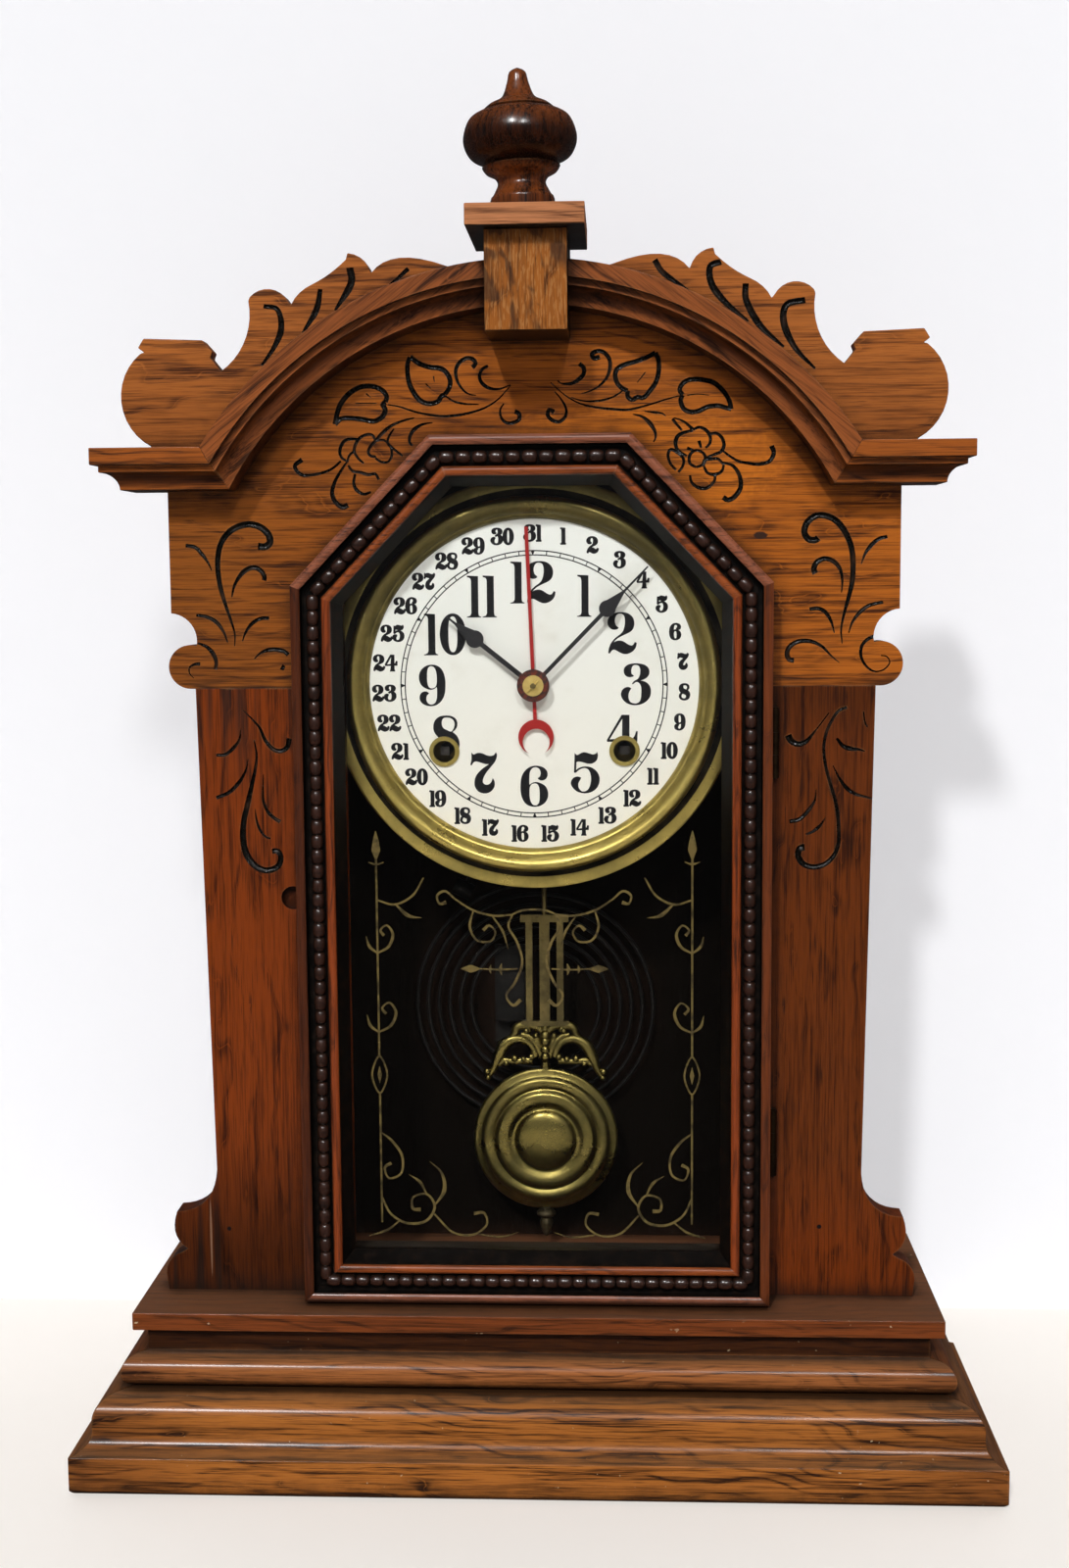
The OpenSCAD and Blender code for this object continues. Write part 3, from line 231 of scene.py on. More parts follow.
def wire(bm, points, radii, sides, flat, step):
    """A tapering wire through points in millimetres; flat thins it from front to back."""
    line = smooth_line(points, step)
    rings = []
    for i, (p, share) in enumerate(line):
        way = heading(line, i)
        across = way.cross(OUT).normalized()
        r = between(radii, share)
        rings.append(oval(p, across, across.cross(way).normalized(), r, r * flat, sides))
    tube(bm, rings)


def turned(bm, profile, sides, origin=(0, 0, 0), axis="Z", material=0):
    """Turns a profile of (radius, height) in millimetres round an axis."""
    loops = []
    for r, h in profile:
        loop = []
        for i in range(sides if r > 1e-5 else 1):
            x = r * math.cos(2 * math.pi * i / sides)
            y = r * math.sin(2 * math.pi * i / sides)
            spot = Vector((x, y, h)) if axis == "Z" else Vector((x, h, y))
            loop.append(bm.verts.new((Vector(origin) + spot) * MM))
        loops.append(loop)
    for a, b in zip(loops, loops[1:]):
        for i in range(sides):
            j = (i + 1) % sides
            corners = [a[i % len(a)], a[j % len(a)], b[j % len(b)], b[i % len(b)]]
            corners = list(dict.fromkeys(corners))
            if len(corners) > 2:
                face = bm.faces.new(corners)
                face.material_index = material
                face.smooth = True


# Nodes of materials and of geometry
def add_node(tree, kind, feeds, settings):
    """A node whose inputs are joined to outputs or set to values."""
    node = tree.nodes.new(kind)
    for key, value in settings.items():
        setattr(node, key, value)
    for key, value in (feeds or {}).items():
        if isinstance(value, bpy.types.NodeSocket):
            tree.links.new(value, node.inputs[key])
        else:
            node.inputs[key].default_value = value
    return node


class Wiring:
    """Adds and joins the nodes of one material or node group."""

    def __init__(self, tree):
        self.tree = tree

    def add(self, kind, feeds=None, **settings):
        return add_node(self.tree, "ShaderNode" + kind, feeds, settings)

    def join(self, output, socket):
        self.tree.links.new(output, socket)

    def maths(self, operation, *values, clamp=False):
        feeds = dict(enumerate(values))
        return self.add("Math", feeds, operation=operation, use_clamp=clamp).outputs[0]

    def plus(self, a, b, clamp=False):
        return self.maths("ADD", a, b, clamp=clamp)

    def less(self, a, b, clamp=False):
        return self.maths("SUBTRACT", a, b, clamp=clamp)

    def times(self, a, b):
        return self.maths("MULTIPLY", a, b)

    def larger(self, a, b):
        return self.maths("MAXIMUM", a, b)

    def place(self):
        return self.add("TexCoord").outputs["Object"]

    def split(self, vector):
        return self.add("SeparateXYZ", {0: vector}).outputs

    def facing(self):
        """The three parts of the way that the surface faces."""
        return self.split(self.add("NewGeometry").outputs["Normal"])

    def stretched(self, vector, *factors):
        feeds = {0: vector, 1: factors}
        return self.add("VectorMath", feeds, operation="MULTIPLY").outputs[0]

    def noise(self, vector, scale=1.0, detail=2.0, rough=0.5, warp=0.0):
        feeds = {"Vector": vector, "Scale": scale, "Detail": detail}
        feeds |= {"Roughness": rough, "Distortion": warp}
        return self.add("TexNoise", feeds).outputs[0]

    def step(self, value, low, high, to_low=0.0, to_high=1.0):
        feeds = {"Value": value, "From Min": low, "From Max": high}
        feeds |= {"To Min": to_low, "To Max": to_high}
        return self.add("MapRange", feeds, interpolation_type="SMOOTHSTEP").outputs[0]

    def blend(self, share, a, b, how="MIX"):
        feeds = {0: share, 6: a, 7: b}
        return self.add("Mix", feeds, data_type="RGBA", blend_type=how).outputs[2]

    def stain(self, shade, share, *tint):
        """Multiplies a colour by a tint where share is 1."""
        return self.blend(share, shade, colour(*tint), "MULTIPLY")

    def smear(self, shade, share, *paint):
        """Covers a colour with a paint where share is 1."""
        return self.blend(share, shade, colour(*paint))

    def bump(self, skin, height, strength, distance):
        feeds = {"Height": height, "Strength": strength, "Distance": distance}
        self.join(self.add("Bump", feeds).outputs[0], skin.inputs["Normal"])


def colour(r, g, b):
    return (r, g, b, 1.0)


def effect_group(name, inputs, outputs):
    """A named shader node group with its sockets, ready to be wired."""
    tree = bpy.data.node_groups.new(name, "ShaderNodeTree")
    for label, value in inputs.items():
        kind = {4: "NodeSocketColor", 3: "NodeSocketVector"}.get(
            len(value) if isinstance(value, tuple) else 0, "NodeSocketFloat"
        )
        socket = tree.interface.new_socket(label, in_out="INPUT", socket_type=kind)
        socket.default_value = value
    for label in outputs:
        kind = "NodeSocketColor" if label == "Color" else "NodeSocketFloat"
        tree.interface.new_socket(label, in_out="OUTPUT", socket_type=kind)
    give = tree.nodes.new("NodeGroupInput").outputs
    take = tree.nodes.new("NodeGroupOutput").inputs
    return tree, Wiring(tree), give, take


# Finishes
def oak_figure():
    """Plain-sawn oak with the grain along X, its places in millimetres."""
    inputs = {
        "Vector": (0.0, 0.0, 0.0),
        "Light": colour(0.3, 0.1, 0.03),
        "Dark": colour(0.12, 0.035, 0.01),
        "Pore": colour(0.02, 0.007, 0.003),
        "Ring": 5.0,
        "Tilt": 0.05,
        "Figure": 0.6,
        "Pores": 0.6,
        "Blotch": 0.9,
        "Bands": 2.6,
        "Flecks": 0.0,
        "Sheen": 0.3,
    }
    tree, w, give, take = effect_group("oak figure", inputs, ("Color", "Roughness", "Height"))
    place = give["Vector"]

    def grain(along, across, **kind):
        return w.noise(w.stretched(place, along, across, across), **kind)

    part = w.split(place)
    sway = w.times(w.less(grain(0.006, 0.02, detail=3.0, rough=0.55), 0.5), 60.0)
    off = w.plus(w.plus(part[2], w.times(part[0], give["Tilt"])), sway)
    depth = w.plus(part[1], w.times(w.less(grain(0.03, 0.09), 0.5), 9.0))
    reach = w.maths("SQRT", w.plus(w.times(off, off), w.times(depth, depth)))
    year = w.maths("FRACT", w.maths("DIVIDE", reach, give["Ring"]))
    late = w.times(w.step(year, 0.0, 0.3, 1.0, 0.0), w.step(year, 0.0, 0.04))
    late = w.plus(late, w.step(year, 0.86, 1.0, 0.0, 0.75))
    uneven = grain(0.012, 0.1, detail=3.0, rough=0.6)
    streak = grain(0.016, 0.42, detail=5.0, rough=0.62)
    fibre = grain(0.035, 1.6, detail=4.0, rough=0.62)
    hair = grain(0.22, 5.0, rough=0.6)
    mottle = grain(0.012, 0.035, detail=4.0, rough=0.6)
    tone = w.times(w.times(late, w.step(uneven, 0.3, 0.62)), give["Figure"])
    tone = w.plus(tone, w.times(w.less(fibre, 0.5), 2.6))
    tone = w.plus(tone, w.times(w.less(streak, 0.47), give["Bands"]))
    tone = w.plus(tone, w.times(w.less(mottle, 0.42), give["Blotch"]), clamp=True)
    shade = w.blend(tone, give["Light"], give["Dark"])
    slots = w.step(grain(0.07, 3.1, detail=1.0), 0.54, 0.63)
    pore = w.times(w.times(slots, w.plus(late, 0.35, clamp=True)), give["Pores"])
    fine = w.times(w.times(w.step(hair, 0.6, 0.75), 0.35), give["Pores"])
    pore = w.plus(pore, fine, clamp=True)
    shade = w.blend(pore, shade, give["Pore"])
    ray = w.times(w.step(grain(0.16, 1.1, warp=0.4), 0.5, 0.6), give["Flecks"])
    pale = w.smear(give["Light"], 0.5, 0.75, 0.42, 0.16)
    w.join(w.blend(ray, shade, pale), take["Color"])
    rough = w.plus(w.times(pore, 0.25), w.times(mottle, 0.16))
    w.join(w.plus(give["Sheen"], rough), take["Roughness"])
    w.join(w.less(w.times(fibre, 0.35), pore), take["Height"])
    return tree


def edge_tone():
    """Grime and painted shade in the inner corners, found by ambient occlusion, and rubbed varnish
    along the edges.
    """
    inputs = {
        "Color": colour(0.3, 0.1, 0.03),
        "Grime and shade": colour(0.015, 0.007, 0.004),
        "Rubbed": colour(0.5, 0.24, 0.09),
        "Grime and shade share": 0.85,
        "Rubbed share": 0.35,
    }
    tree, w, give, take = effect_group("edge tone", inputs, ("Color",))
    place = w.place()
    # Painted shade: ambient occlusion darkens corners and recesses, with patchy grime on top.
    hidden = w.add("AmbientOcclusion", {"Distance": 0.011}, samples=5).outputs["AO"]
    grime = w.times(w.noise(place, scale=130.0, detail=3.0), 0.35)
    grime_and_shade = w.times(w.step(w.plus(hidden, grime), 0.62, 1.1, 1, 0), give["Grime and shade share"])
    shade = w.blend(grime_and_shade, give["Color"], give["Grime and shade"])
    rounded = w.add("Bevel", {"Radius": 0.0012}, samples=4).outputs[0]
    true = w.add("NewGeometry").outputs["Normal"]
    bend = w.add("VectorMath", {0: rounded, 1: true}, operation="DOT_PRODUCT")
    edge = w.step(bend.outputs["Value"], 0.8, 0.97, 1.0, 0.0)
    patchy = w.step(w.noise(place, scale=60.0, detail=4.0, rough=0.65), 0.42, 0.62)
    rub = w.times(w.times(edge, w.step(hidden, 0.55, 0.9)), patchy)
    rub = w.times(rub, give["Rubbed share"])
    w.join(w.blend(rub, shade, give["Rubbed"]), take["Color"])
    return tree


def worn_metal():
    """Old metal, with dull patches, fine scratches and dark spots."""
    inputs = {
        "Bright": colour(0.6, 0.45, 0.18),
        "Dull": colour(0.25, 0.18, 0.08),
        "Spots": 0.3,
        "Shine": 0.25,
    }
    tree, w, give, take = effect_group("worn metal", inputs, ("Color", "Roughness", "Height"))
    place = w.place()
    cloud = w.noise(place, scale=45.0, detail=5.0, rough=0.65)
    fleck = w.noise(place, scale=420.0, detail=3.0, rough=0.6)
    scratch = w.noise(w.stretched(place, 150.0, 900.0, 1500.0))
    dull = w.step(cloud, 0.36, 0.66)
    spot = w.times(w.step(fleck, 0.6, 0.72), give["Spots"])
    shade = w.blend(dull, give["Bright"], give["Dull"])
    w.join(w.smear(shade, spot, 0.03, 0.02, 0.012), take["Color"])
    rough = w.plus(give["Shine"], w.times(dull, 0.2))
    w.join(w.plus(rough, w.times(spot, 0.3)), take["Roughness"])
    w.join(w.plus(w.times(fleck, 0.5), scratch), take["Height"])
    return tree


OAK_FIGURE = oak_figure()
EDGE_TONE = edge_tone()
WORN_METAL = worn_metal()

# How a pattern that runs along X is turned to run along each axis
TURNS = {"X": (0, 0, 0), "Z": (0, 90, 0), "Y": (0, 0, -90)}


def finish_named(name):
    """A new material with its wiring, Principled skin and output."""
    m = bpy.data.materials.new(name)
    m.use_nodes = True
    m.node_tree.nodes.clear()
    w = Wiring(m.node_tree)
    skin = w.add("BsdfPrincipled")
    end = w.add("OutputMaterial", {"Surface": skin.outputs[0]})
    return m, w, skin, end


def set_gloss(skin, gloss, coat=0.0):
    skin.inputs["Specular IOR Level"].default_value = gloss
    if coat:
        skin.inputs["Coat Weight"].default_value = coat
        skin.inputs["Coat Roughness"].default_value = 0.2


def oak(name, grain, light, dark, centre, marks=None, coat=0.3, gloss=0.1, edges=None, **figure):
    """Varnished oak.

    grain is the axis that it runs along, or three angles in degrees. centre moves the
    tree's heart. figure and edges give the inputs of the oak figure and edge tone groups
    that differ from the groups' own values.
    """
    m, w, skin, _ = finish_named(name)
    feeds = {
        "Vector": w.place(),
        "Scale": (1000, 1000, 1000),
        "Rotation": [math.radians(a) for a in TURNS.get(grain, grain)],
        "Location": centre,
    }
    place = w.add("Mapping", feeds, vector_type="POINT").outputs[0]
    feeds = {"Vector": place, "Light": colour(*light), "Dark": colour(*dark)}
    feeds |= {key.capitalize(): value for key, value in figure.items()}
    wood = w.add("Group", feeds, node_tree=OAK_FIGURE).outputs
    shade = marks(w, place, wood["Color"]) if marks else wood["Color"]
    feeds = {"Color": shade} | (edges or {})
    toned = w.add("Group", feeds, node_tree=EDGE_TONE).outputs
    w.join(toned["Color"], skin.inputs["Base Color"])
    w.join(wood["Roughness"], skin.inputs["Roughness"])
    w.bump(skin, wood["Height"], 0.25, 0.0003)
    set_gloss(skin, gloss, coat)
    return m


def metal(name, bright, dull, spots=0.3, shine=0.25, bump=0.08, solid=1.0, shaded=False):
    """Old metal; on shaded brass, painted shade darkens it towards the top of the dial."""
    m, w, skin, _ = finish_named(name)
    feeds = {"Bright": colour(*bright), "Dull": colour(*dull), "Spots": spots, "Shine": shine}
    worn = w.add("Group", feeds, node_tree=WORN_METAL).outputs
    shade = worn["Color"]
    if shaded:
        # Painted shade: the bezel darker towards the top of the dial, under the door frame.
        shade = w.stain(shade, along_part(w, 2, 290, 415), 0.3, 0.31, 0.38)
    w.join(shade, skin.inputs["Base Color"])
    w.join(worn["Roughness"], skin.inputs["Roughness"])
    w.bump(skin, worn["Height"], bump, 0.0002)
    skin.inputs["Metallic"].default_value = solid
    set_gloss(skin, 0.5 if solid == 1 else 0.15)
    return m


def carved_groove():
    """The glossy, stippled floor of the carving, near-black from dark stain and painted shade."""
    m, w, skin, _ = finish_named("carved groove")
    place = w.place()
    pits = w.noise(place, scale=1500.0, rough=0.6)
    cloud = w.noise(place, scale=180.0, detail=3.0)
    pitted = w.step(pits, 0.45, 0.75)
    shade = w.blend(pitted, colour(0.003, 0.003, 0.002), colour(0.02, 0.012, 0.008))
    shade = w.smear(shade, w.step(cloud, 0.55, 0.75), 0.045, 0.02, 0.009)
    w.join(shade, skin.inputs["Base Color"])
    w.join(w.step(cloud, 0.3, 0.7, 0.16, 0.4), skin.inputs["Roughness"])
    w.bump(skin, pits, 0.6, 0.0005)
    return m


GROOVE = carved_groove()


def along_part(w, axis, low, high):
    """Rises from 0 to 1 between two places, in millimetres, along an axis."""
    return w.step(w.split(w.place())[axis], low * MM, high * MM)


def spot_mask(w, x, z, wide, high, ragged=0.25):
    """1 inside a ragged oval on the clock's front, 0 outside."""
    place = w.place()
    part = w.split(place)
    dx = w.times(w.less(part[0], x * MM), 1 / (wide * MM))
    dz = w.times(w.less(part[2], z * MM), 1 / (high * MM))
    reach = w.maths("SQRT", w.plus(w.times(dx, dx), w.times(dz, dz)))
    torn = w.noise(place, scale=400.0, detail=3.0)
    reach = w.plus(reach, w.times(w.less(torn, 0.5), 2 * ragged))
    return w.step(reach, 0.75, 1.1, 1.0, 0.0)


# Marks on the oak. Each takes the wiring, the place in the oak's own grain and the colour
# so far, and gives the colour with its marks.
def upper_marks(w, place, shade):
    """Darker towards its left end, with painted shade along its top under the cornice ends, sooty
    above the seam, a painted patch of light right of the keystone and a chip.
    """
    left = w.times(along_part(w, 0, -20, -150), 0.85)
    shade = w.stain(shade, left, 0.56, 0.62, 0.9)
    # Painted shade along the top of the board, under the cornice ends and arch.
    high = w.times(along_part(w, 2, 425, 452), 0.25)
    shade = w.stain(shade, high, 0.6, 0.6, 0.7)
    # Painted light: a pale patch right of the keystone, where the lamp falls.
    pale = w.times(spot_mask(w, 40, 446, 70, 26), 0.8)
    shade = w.stain(shade, pale, 1.5, 1.55, 1.2)
    soot = w.noise(w.stretched(place, 0.03, 0.3, 0.3), detail=3.0)
    seam = w.times(along_part(w, 2, 358, 350.5), w.step(soot, 0.38, 0.6))
    shade = w.smear(shade, w.times(seam, 0.8), 0.02, 0.012, 0.008)
    return w.smear(shade, spot_mask(w, 99.5, 415.5, 3.2, 1.7), 0.045, 0.02, 0.012)


def nail_mark(w, shade, x, z):
    """A nail's head, sunk and filled with dark wax."""
    return w.smear(shade, spot_mask(w, x, z, 1.1, 1.1), 0.01, 0.007, 0.006)


def left_pillar_marks(w, place, shade):
    """Sooty bands under the seam, a dark foot, a nail and a pale crack."""
    bands = w.noise(w.stretched(place, 0.006, 0.16, 0.16))
    top = w.times(along_part(w, 2, 290, 348), w.step(bands, 0.48, 0.62))
    shade = w.smear(shade, w.times(top, 0.75), 0.022, 0.013, 0.009)
    foot = along_part(w, 2, 165, 85)
    shade = w.stain(shade, foot, 0.34, 0.40, 0.5)
    worn = w.times(foot, w.step(bands, 0.52, 0.63))
    shade = w.smear(shade, w.times(worn, 0.7), 0.012, 0.008, 0.006)
    crack = w.times(spot_mask(w, -149.8, 98, 0.5, 19, 0.1), 0.55)
    shade = w.smear(shade, crack, 0.36, 0.2, 0.12)
    return nail_mark(w, shade, -141.4, 102.2)


def right_pillar_marks(w, place, shade):
    """A warmer foot, a duller top and a nail."""
    shade = w.stain(shade, along_part(w, 2, 150, 85), 1.25, 1.04, 0.7)
    top = w.times(along_part(w, 2, 320, 349), 0.6)
    shade = w.stain(shade, top, 0.45, 0.5, 0.6)
    return nail_mark(w, shade, 127.6, 105.4)


def crest_marks(w, place, shade):
    """Darker along the arch, lighter towards the tips."""
    low = w.times(along_part(w, 2, 505, 470), 0.35)
    return w.stain(shade, low, 0.6, 0.6, 0.65)


def keystone_marks(w, place, shade):
    """Broad dark waves across the rays, and painted shade that blackens the sides and underside."""
    wave = w.noise(w.stretched(place, 0.05, 0.22, 0.09), warp=1.0)
    shade = w.smear(shade, w.times(w.step(wave, 0.52, 0.62), 0.75), 0.045, 0.02, 0.01)
    # Painted shade on the faces that turn sideways or down.
    faces = w.facing()
    out = w.larger(w.maths("ABSOLUTE", faces[0]), w.times(faces[2], -1.0))
    return w.smear(shade, w.step(out, 0.5, 0.8), 0.008, 0.006, 0.005)


def cap_marks(w, place, shade):
    """Painted shade, black underneath."""
    return w.smear(shade, w.step(w.facing()[2], -0.3, -0.8), 0.014, 0.012, 0.011)


def finial_marks(w, place, shade):
    """Painted shade, nearly black round the lower half of the bulb."""
    shade_band = w.times(along_part(w, 2, 592, 580), along_part(w, 2, 566, 570))
    return w.stain(shade, shade_band, 0.16, 0.15, 0.18)


def neck_marks(w, place, shade):
    """Painted shade in the hollow under the plinth board."""
    shade = w.stain(shade, along_part(w, 2, 53.5, 56), 0.21, 0.17, 0.14)
    return base_marks(w, place, shade)


def stile_marks(w, place, shade):
    """Painted light: the right stile is lighter than the left."""
    return w.stain(shade, along_part(w, 0, -20, 20), 1.9, 1.9, 1.6)


def base_marks(w, place, shade):
    """The mitred ends have darkened, and dust lies in flecks on the mouldings."""
    ends = w.step(w.maths("ABSOLUTE", w.split(w.place())[0]), 0.13, 0.2)
    return dusted(w, place, w.stain(shade, w.times(ends, 0.7), 0.45, 0.42, 0.5))


def dusted(w, place, shade):
    """Small pale flecks of dust and chipped varnish, and a dusty film on top."""
    spot = w.place()
    grain = w.noise(spot, scale=330.0, rough=0.7)
    where = w.noise(spot, scale=40.0, detail=1.0)
    fleck = w.times(w.step(grain, 0.705, 0.74), w.step(where, 0.5, 0.6))
    shade = w.smear(shade, w.times(fleck, 0.7), 0.62, 0.47, 0.28)
    return w.smear(shade, w.step(w.facing()[2], 0.6, 1.0, 0.0, 0.45), 0.17, 0.10, 0.055)


def inside_soot(w, place, shade):
    """Painted shade, nearly black, where a board closes the case; plain oak outside."""
    faces = w.facing()
    side = w.maths("SIGN", w.split(w.place())[0])
    inward = w.times(side, w.times(faces[0], -1.0))
    inner = w.larger(w.step(faces[1], -0.2, -0.6), w.step(inward, 0.2, 0.6))
    return w.smear(shade, inner, 0.003, 0.002, 0.0012)


def dark_below(w, place, shade):
    """Painted shade blackens whatever faces down."""
    return w.stain(shade, w.step(w.facing()[2], -0.1, -0.7), 0.22, 0.2, 0.2)


def rubbed(share, *tint):
    """How far the edges have rubbed through, and to what colour."""
    return {"Rubbed": colour(*tint), "Rubbed share": share}


# Each finish: its name, grain, light and dark tones and heart, then its marks and what
# differs from plain oak
UNLIT = {"light": (0.12, 0.04, 0.012), "dark": (0.05, 0.017, 0.007), "coat": 0, "ring": 6.0}
ARCH = {"light": (0.31, 0.088, 0.022), "dark": (0.05, 0.016, 0.006), "centre": (0, 40, -400)}
OAK = {
    "upper": oak(
        "upper board oak", "X", (0.46, 0.125, 0.012), (0.075, 0.019, 0.004), (0, 70, -430),
        upper_marks, ring=4.6, tilt=0.07,
    ),
    "crest": oak(
        "crest oak", "X", (0.48, 0.148, 0.028), (0.085, 0.023, 0.006), (40, 50, -470),
        crest_marks, ring=5.5, tilt=-0.05,
    ),
    "pillar_l": oak(
        "left pillar oak", "Z", (0.22, 0.039, 0.004), (0.04, 0.008, 0.002), (0, 60, -110),
        left_pillar_marks, ring=6.0, tilt=0.04,
    ),
    "pillar_r": oak(
        "right pillar oak", "Z", (0.145, 0.031, 0.004), (0.03, 0.007, 0.002), (0, 60, 130),
        right_pillar_marks, ring=4.0, tilt=0.02, pores=0.8,
    ),
    "arch_l": oak("left arch oak", (0, 38, 0), marks=dark_below, **ARCH),
    "arch_r": oak("right arch oak", (0, -38, 0), marks=dark_below, **ARCH),
    "cornice": oak(
        "cornice oak", "X", (0.36, 0.095, 0.014), (0.06, 0.017, 0.005), (0, 35, -425),
        dark_below, ring=4.0,
    ),
    "keystone": oak(
        "keystone oak", "Z", (0.36, 0.115, 0.018), (0.085, 0.024, 0.006), (0, 80, 15),
        keystone_marks, ring=6.0, flecks=0.4, bands=1.2,
    ),
    "cap": oak(
        "cap plate oak", "X", (0.56, 0.22, 0.09), (0.16, 0.055, 0.02), (0, 60, -520),
        cap_marks, bands=3.4,
    ),
    "neck": oak(
        "neck moulding oak", "X", (0.37, 0.125, 0.033), (0.035, 0.012, 0.005), (0, 60, -30),
        neck_marks, ring=4.0,
    ),
    "neck_side": oak(
        "neck side oak", "Y", (0.17, 0.05, 0.012), (0.065, 0.02, 0.007), (0, 60, -30),
        ring=4.0,
    ),
    "plinth": oak(
        "plinth board oak", "X", (0.21, 0.05, 0.010), (0.055, 0.016, 0.005), (0, 50, -90),
        dusted,
    ),
    "base": oak(
        "base moulding oak", "X", (0.42, 0.14, 0.023), (0.04, 0.014, 0.005), (0, 65, -10),
        base_marks, ring=4.5, figure=0.8, bands=4.0,
    ),
    "base_side": oak(
        "base side oak", "Y", (0.2, 0.075, 0.022), (0.08, 0.03, 0.01), (0, 65, -10), ring=4.5
    ),
    "case_side": oak(
        "case side oak", "Z", centre=(0, 50, 0), marks=inside_soot, gloss=0.02, sheen=0.45,
        **UNLIT,
    ),
    "case_top": oak("case top oak", "X", centre=(0, 30, -440), sheen=0.45, **UNLIT),
    "back": oak(
        "back board oak", "Z", (0.16, 0.07, 0.03), (0.08, 0.035, 0.016), (0, 20, 0),
        inside_soot, coat=0, gloss=0.02, ring=9.0, sheen=0.6,
    ),
    # Painted shade: the sill rail is toned nearly black, as it sits inside the case.
    "sill": oak(
        "sill rail oak", "X", (0.026, 0.021, 0.015), (0.014, 0.011, 0.008), (0, 50, -80),
        coat=0, ring=4.0, sheen=0.5,
    ),
    "finial": oak(
        "finial oak", "Z", (0.22, 0.056, 0.012), (0.022, 0.008, 0.004), (0, 40, 40),
        finial_marks, coat=0.5, gloss=0.2, sheen=0.16, blotch=2.4, pores=0.5,
    ),
    "door_x": oak(
        "door rail oak", "X", (0.33, 0.10, 0.045), (0.07, 0.02, 0.009), (0, 60, -80),
        coat=0.7, gloss=0.3, edges=rubbed(0.6, 0.4, 0.2, 0.13), ring=3.5,
    ),
    "door_z": oak(
        "door stile oak", "Z", (0.09, 0.02, 0.005), (0.03, 0.007, 0.003), (0, 60, 90),
        stile_marks, gloss=0.25, edges=rubbed(0.5, 0.28, 0.10, 0.04), ring=3.5,
    ),
    "inner_x": oak(
        "inner bead rail oak", "X", (0.32, 0.07, 0.012), (0.06, 0.014, 0.004), (0, 60, -90),
        gloss=0.25, edges=rubbed(0.5, 0.5, 0.25, 0.15), ring=3.5,
    ),
    "inner_z": oak(
        "inner bead stile oak", "Z", (0.28, 0.05, 0.008), (0.05, 0.01, 0.003), (0, 60, 80),
        gloss=0.25, edges=rubbed(0.4, 0.45, 0.15, 0.06), ring=3.5,
    ),
    "bead": oak(
        "notched strip oak", "X", (0.042, 0.014, 0.008), (0.009, 0.005, 0.004), (0, 60, -80),
        coat=0.8, gloss=0.3, edges=rubbed(0.5, 0.2, 0.09, 0.06), sheen=0.25,
    ),
}
BRASS = metal("aged brass", (0.78, 0.6, 0.2), (0.5, 0.37, 0.12), spots=0.15)
BEZEL = metal(
    "bezel brass", (0.44, 0.335, 0.09), (0.30, 0.235, 0.068), spots=0.12, shine=0.26, shaded=True
)
# The groove round the bezel: near-black brass, dirt with painted shade.
BEZEL_GROOVE = metal(
    "bezel groove brass", (0.025, 0.02, 0.012), (0.012, 0.010, 0.007), shine=0.5
)
BOB_BRASS = metal(
    "bob brass", (0.19, 0.15, 0.043), (0.10, 0.08, 0.025), spots=0.02, shine=0.24, bump=0.02
)
# Darker brass for the turned drop under the bob.
DROP_BRASS = metal("dark drop brass", (0.10, 0.08, 0.04), (0.04, 0.032, 0.018), shine=0.4)
GRILLE_BRASS = metal("grille brass", (0.15, 0.115, 0.042), (0.07, 0.054, 0.022), shine=0.4)
# Painted shade: the movement's brass is toned dark, as it sits in shade behind the dial.
WHEEL = metal("wheel brass", (0.2, 0.15, 0.06), (0.1, 0.075, 0.03), shine=0.35)
STEEL = metal("grey steel", (0.62, 0.62, 0.63), (0.4, 0.39, 0.38), shine=0.2)
# Painted shade: the winding arbors' steel is toned dark, deep in their holes.
DULL_STEEL = metal("dull steel", (0.06, 0.055, 0.05), (0.03, 0.028, 0.025), shine=0.3)
OLD_HINGE = metal("blackened hinge brass", (0.10, 0.06, 0.03), (0.035, 0.02, 0.012), shine=0.4)
IRON = metal("black iron", (0.008, 0.007, 0.006), (0.004, 0.0035, 0.003), shine=0.5, solid=0.3)


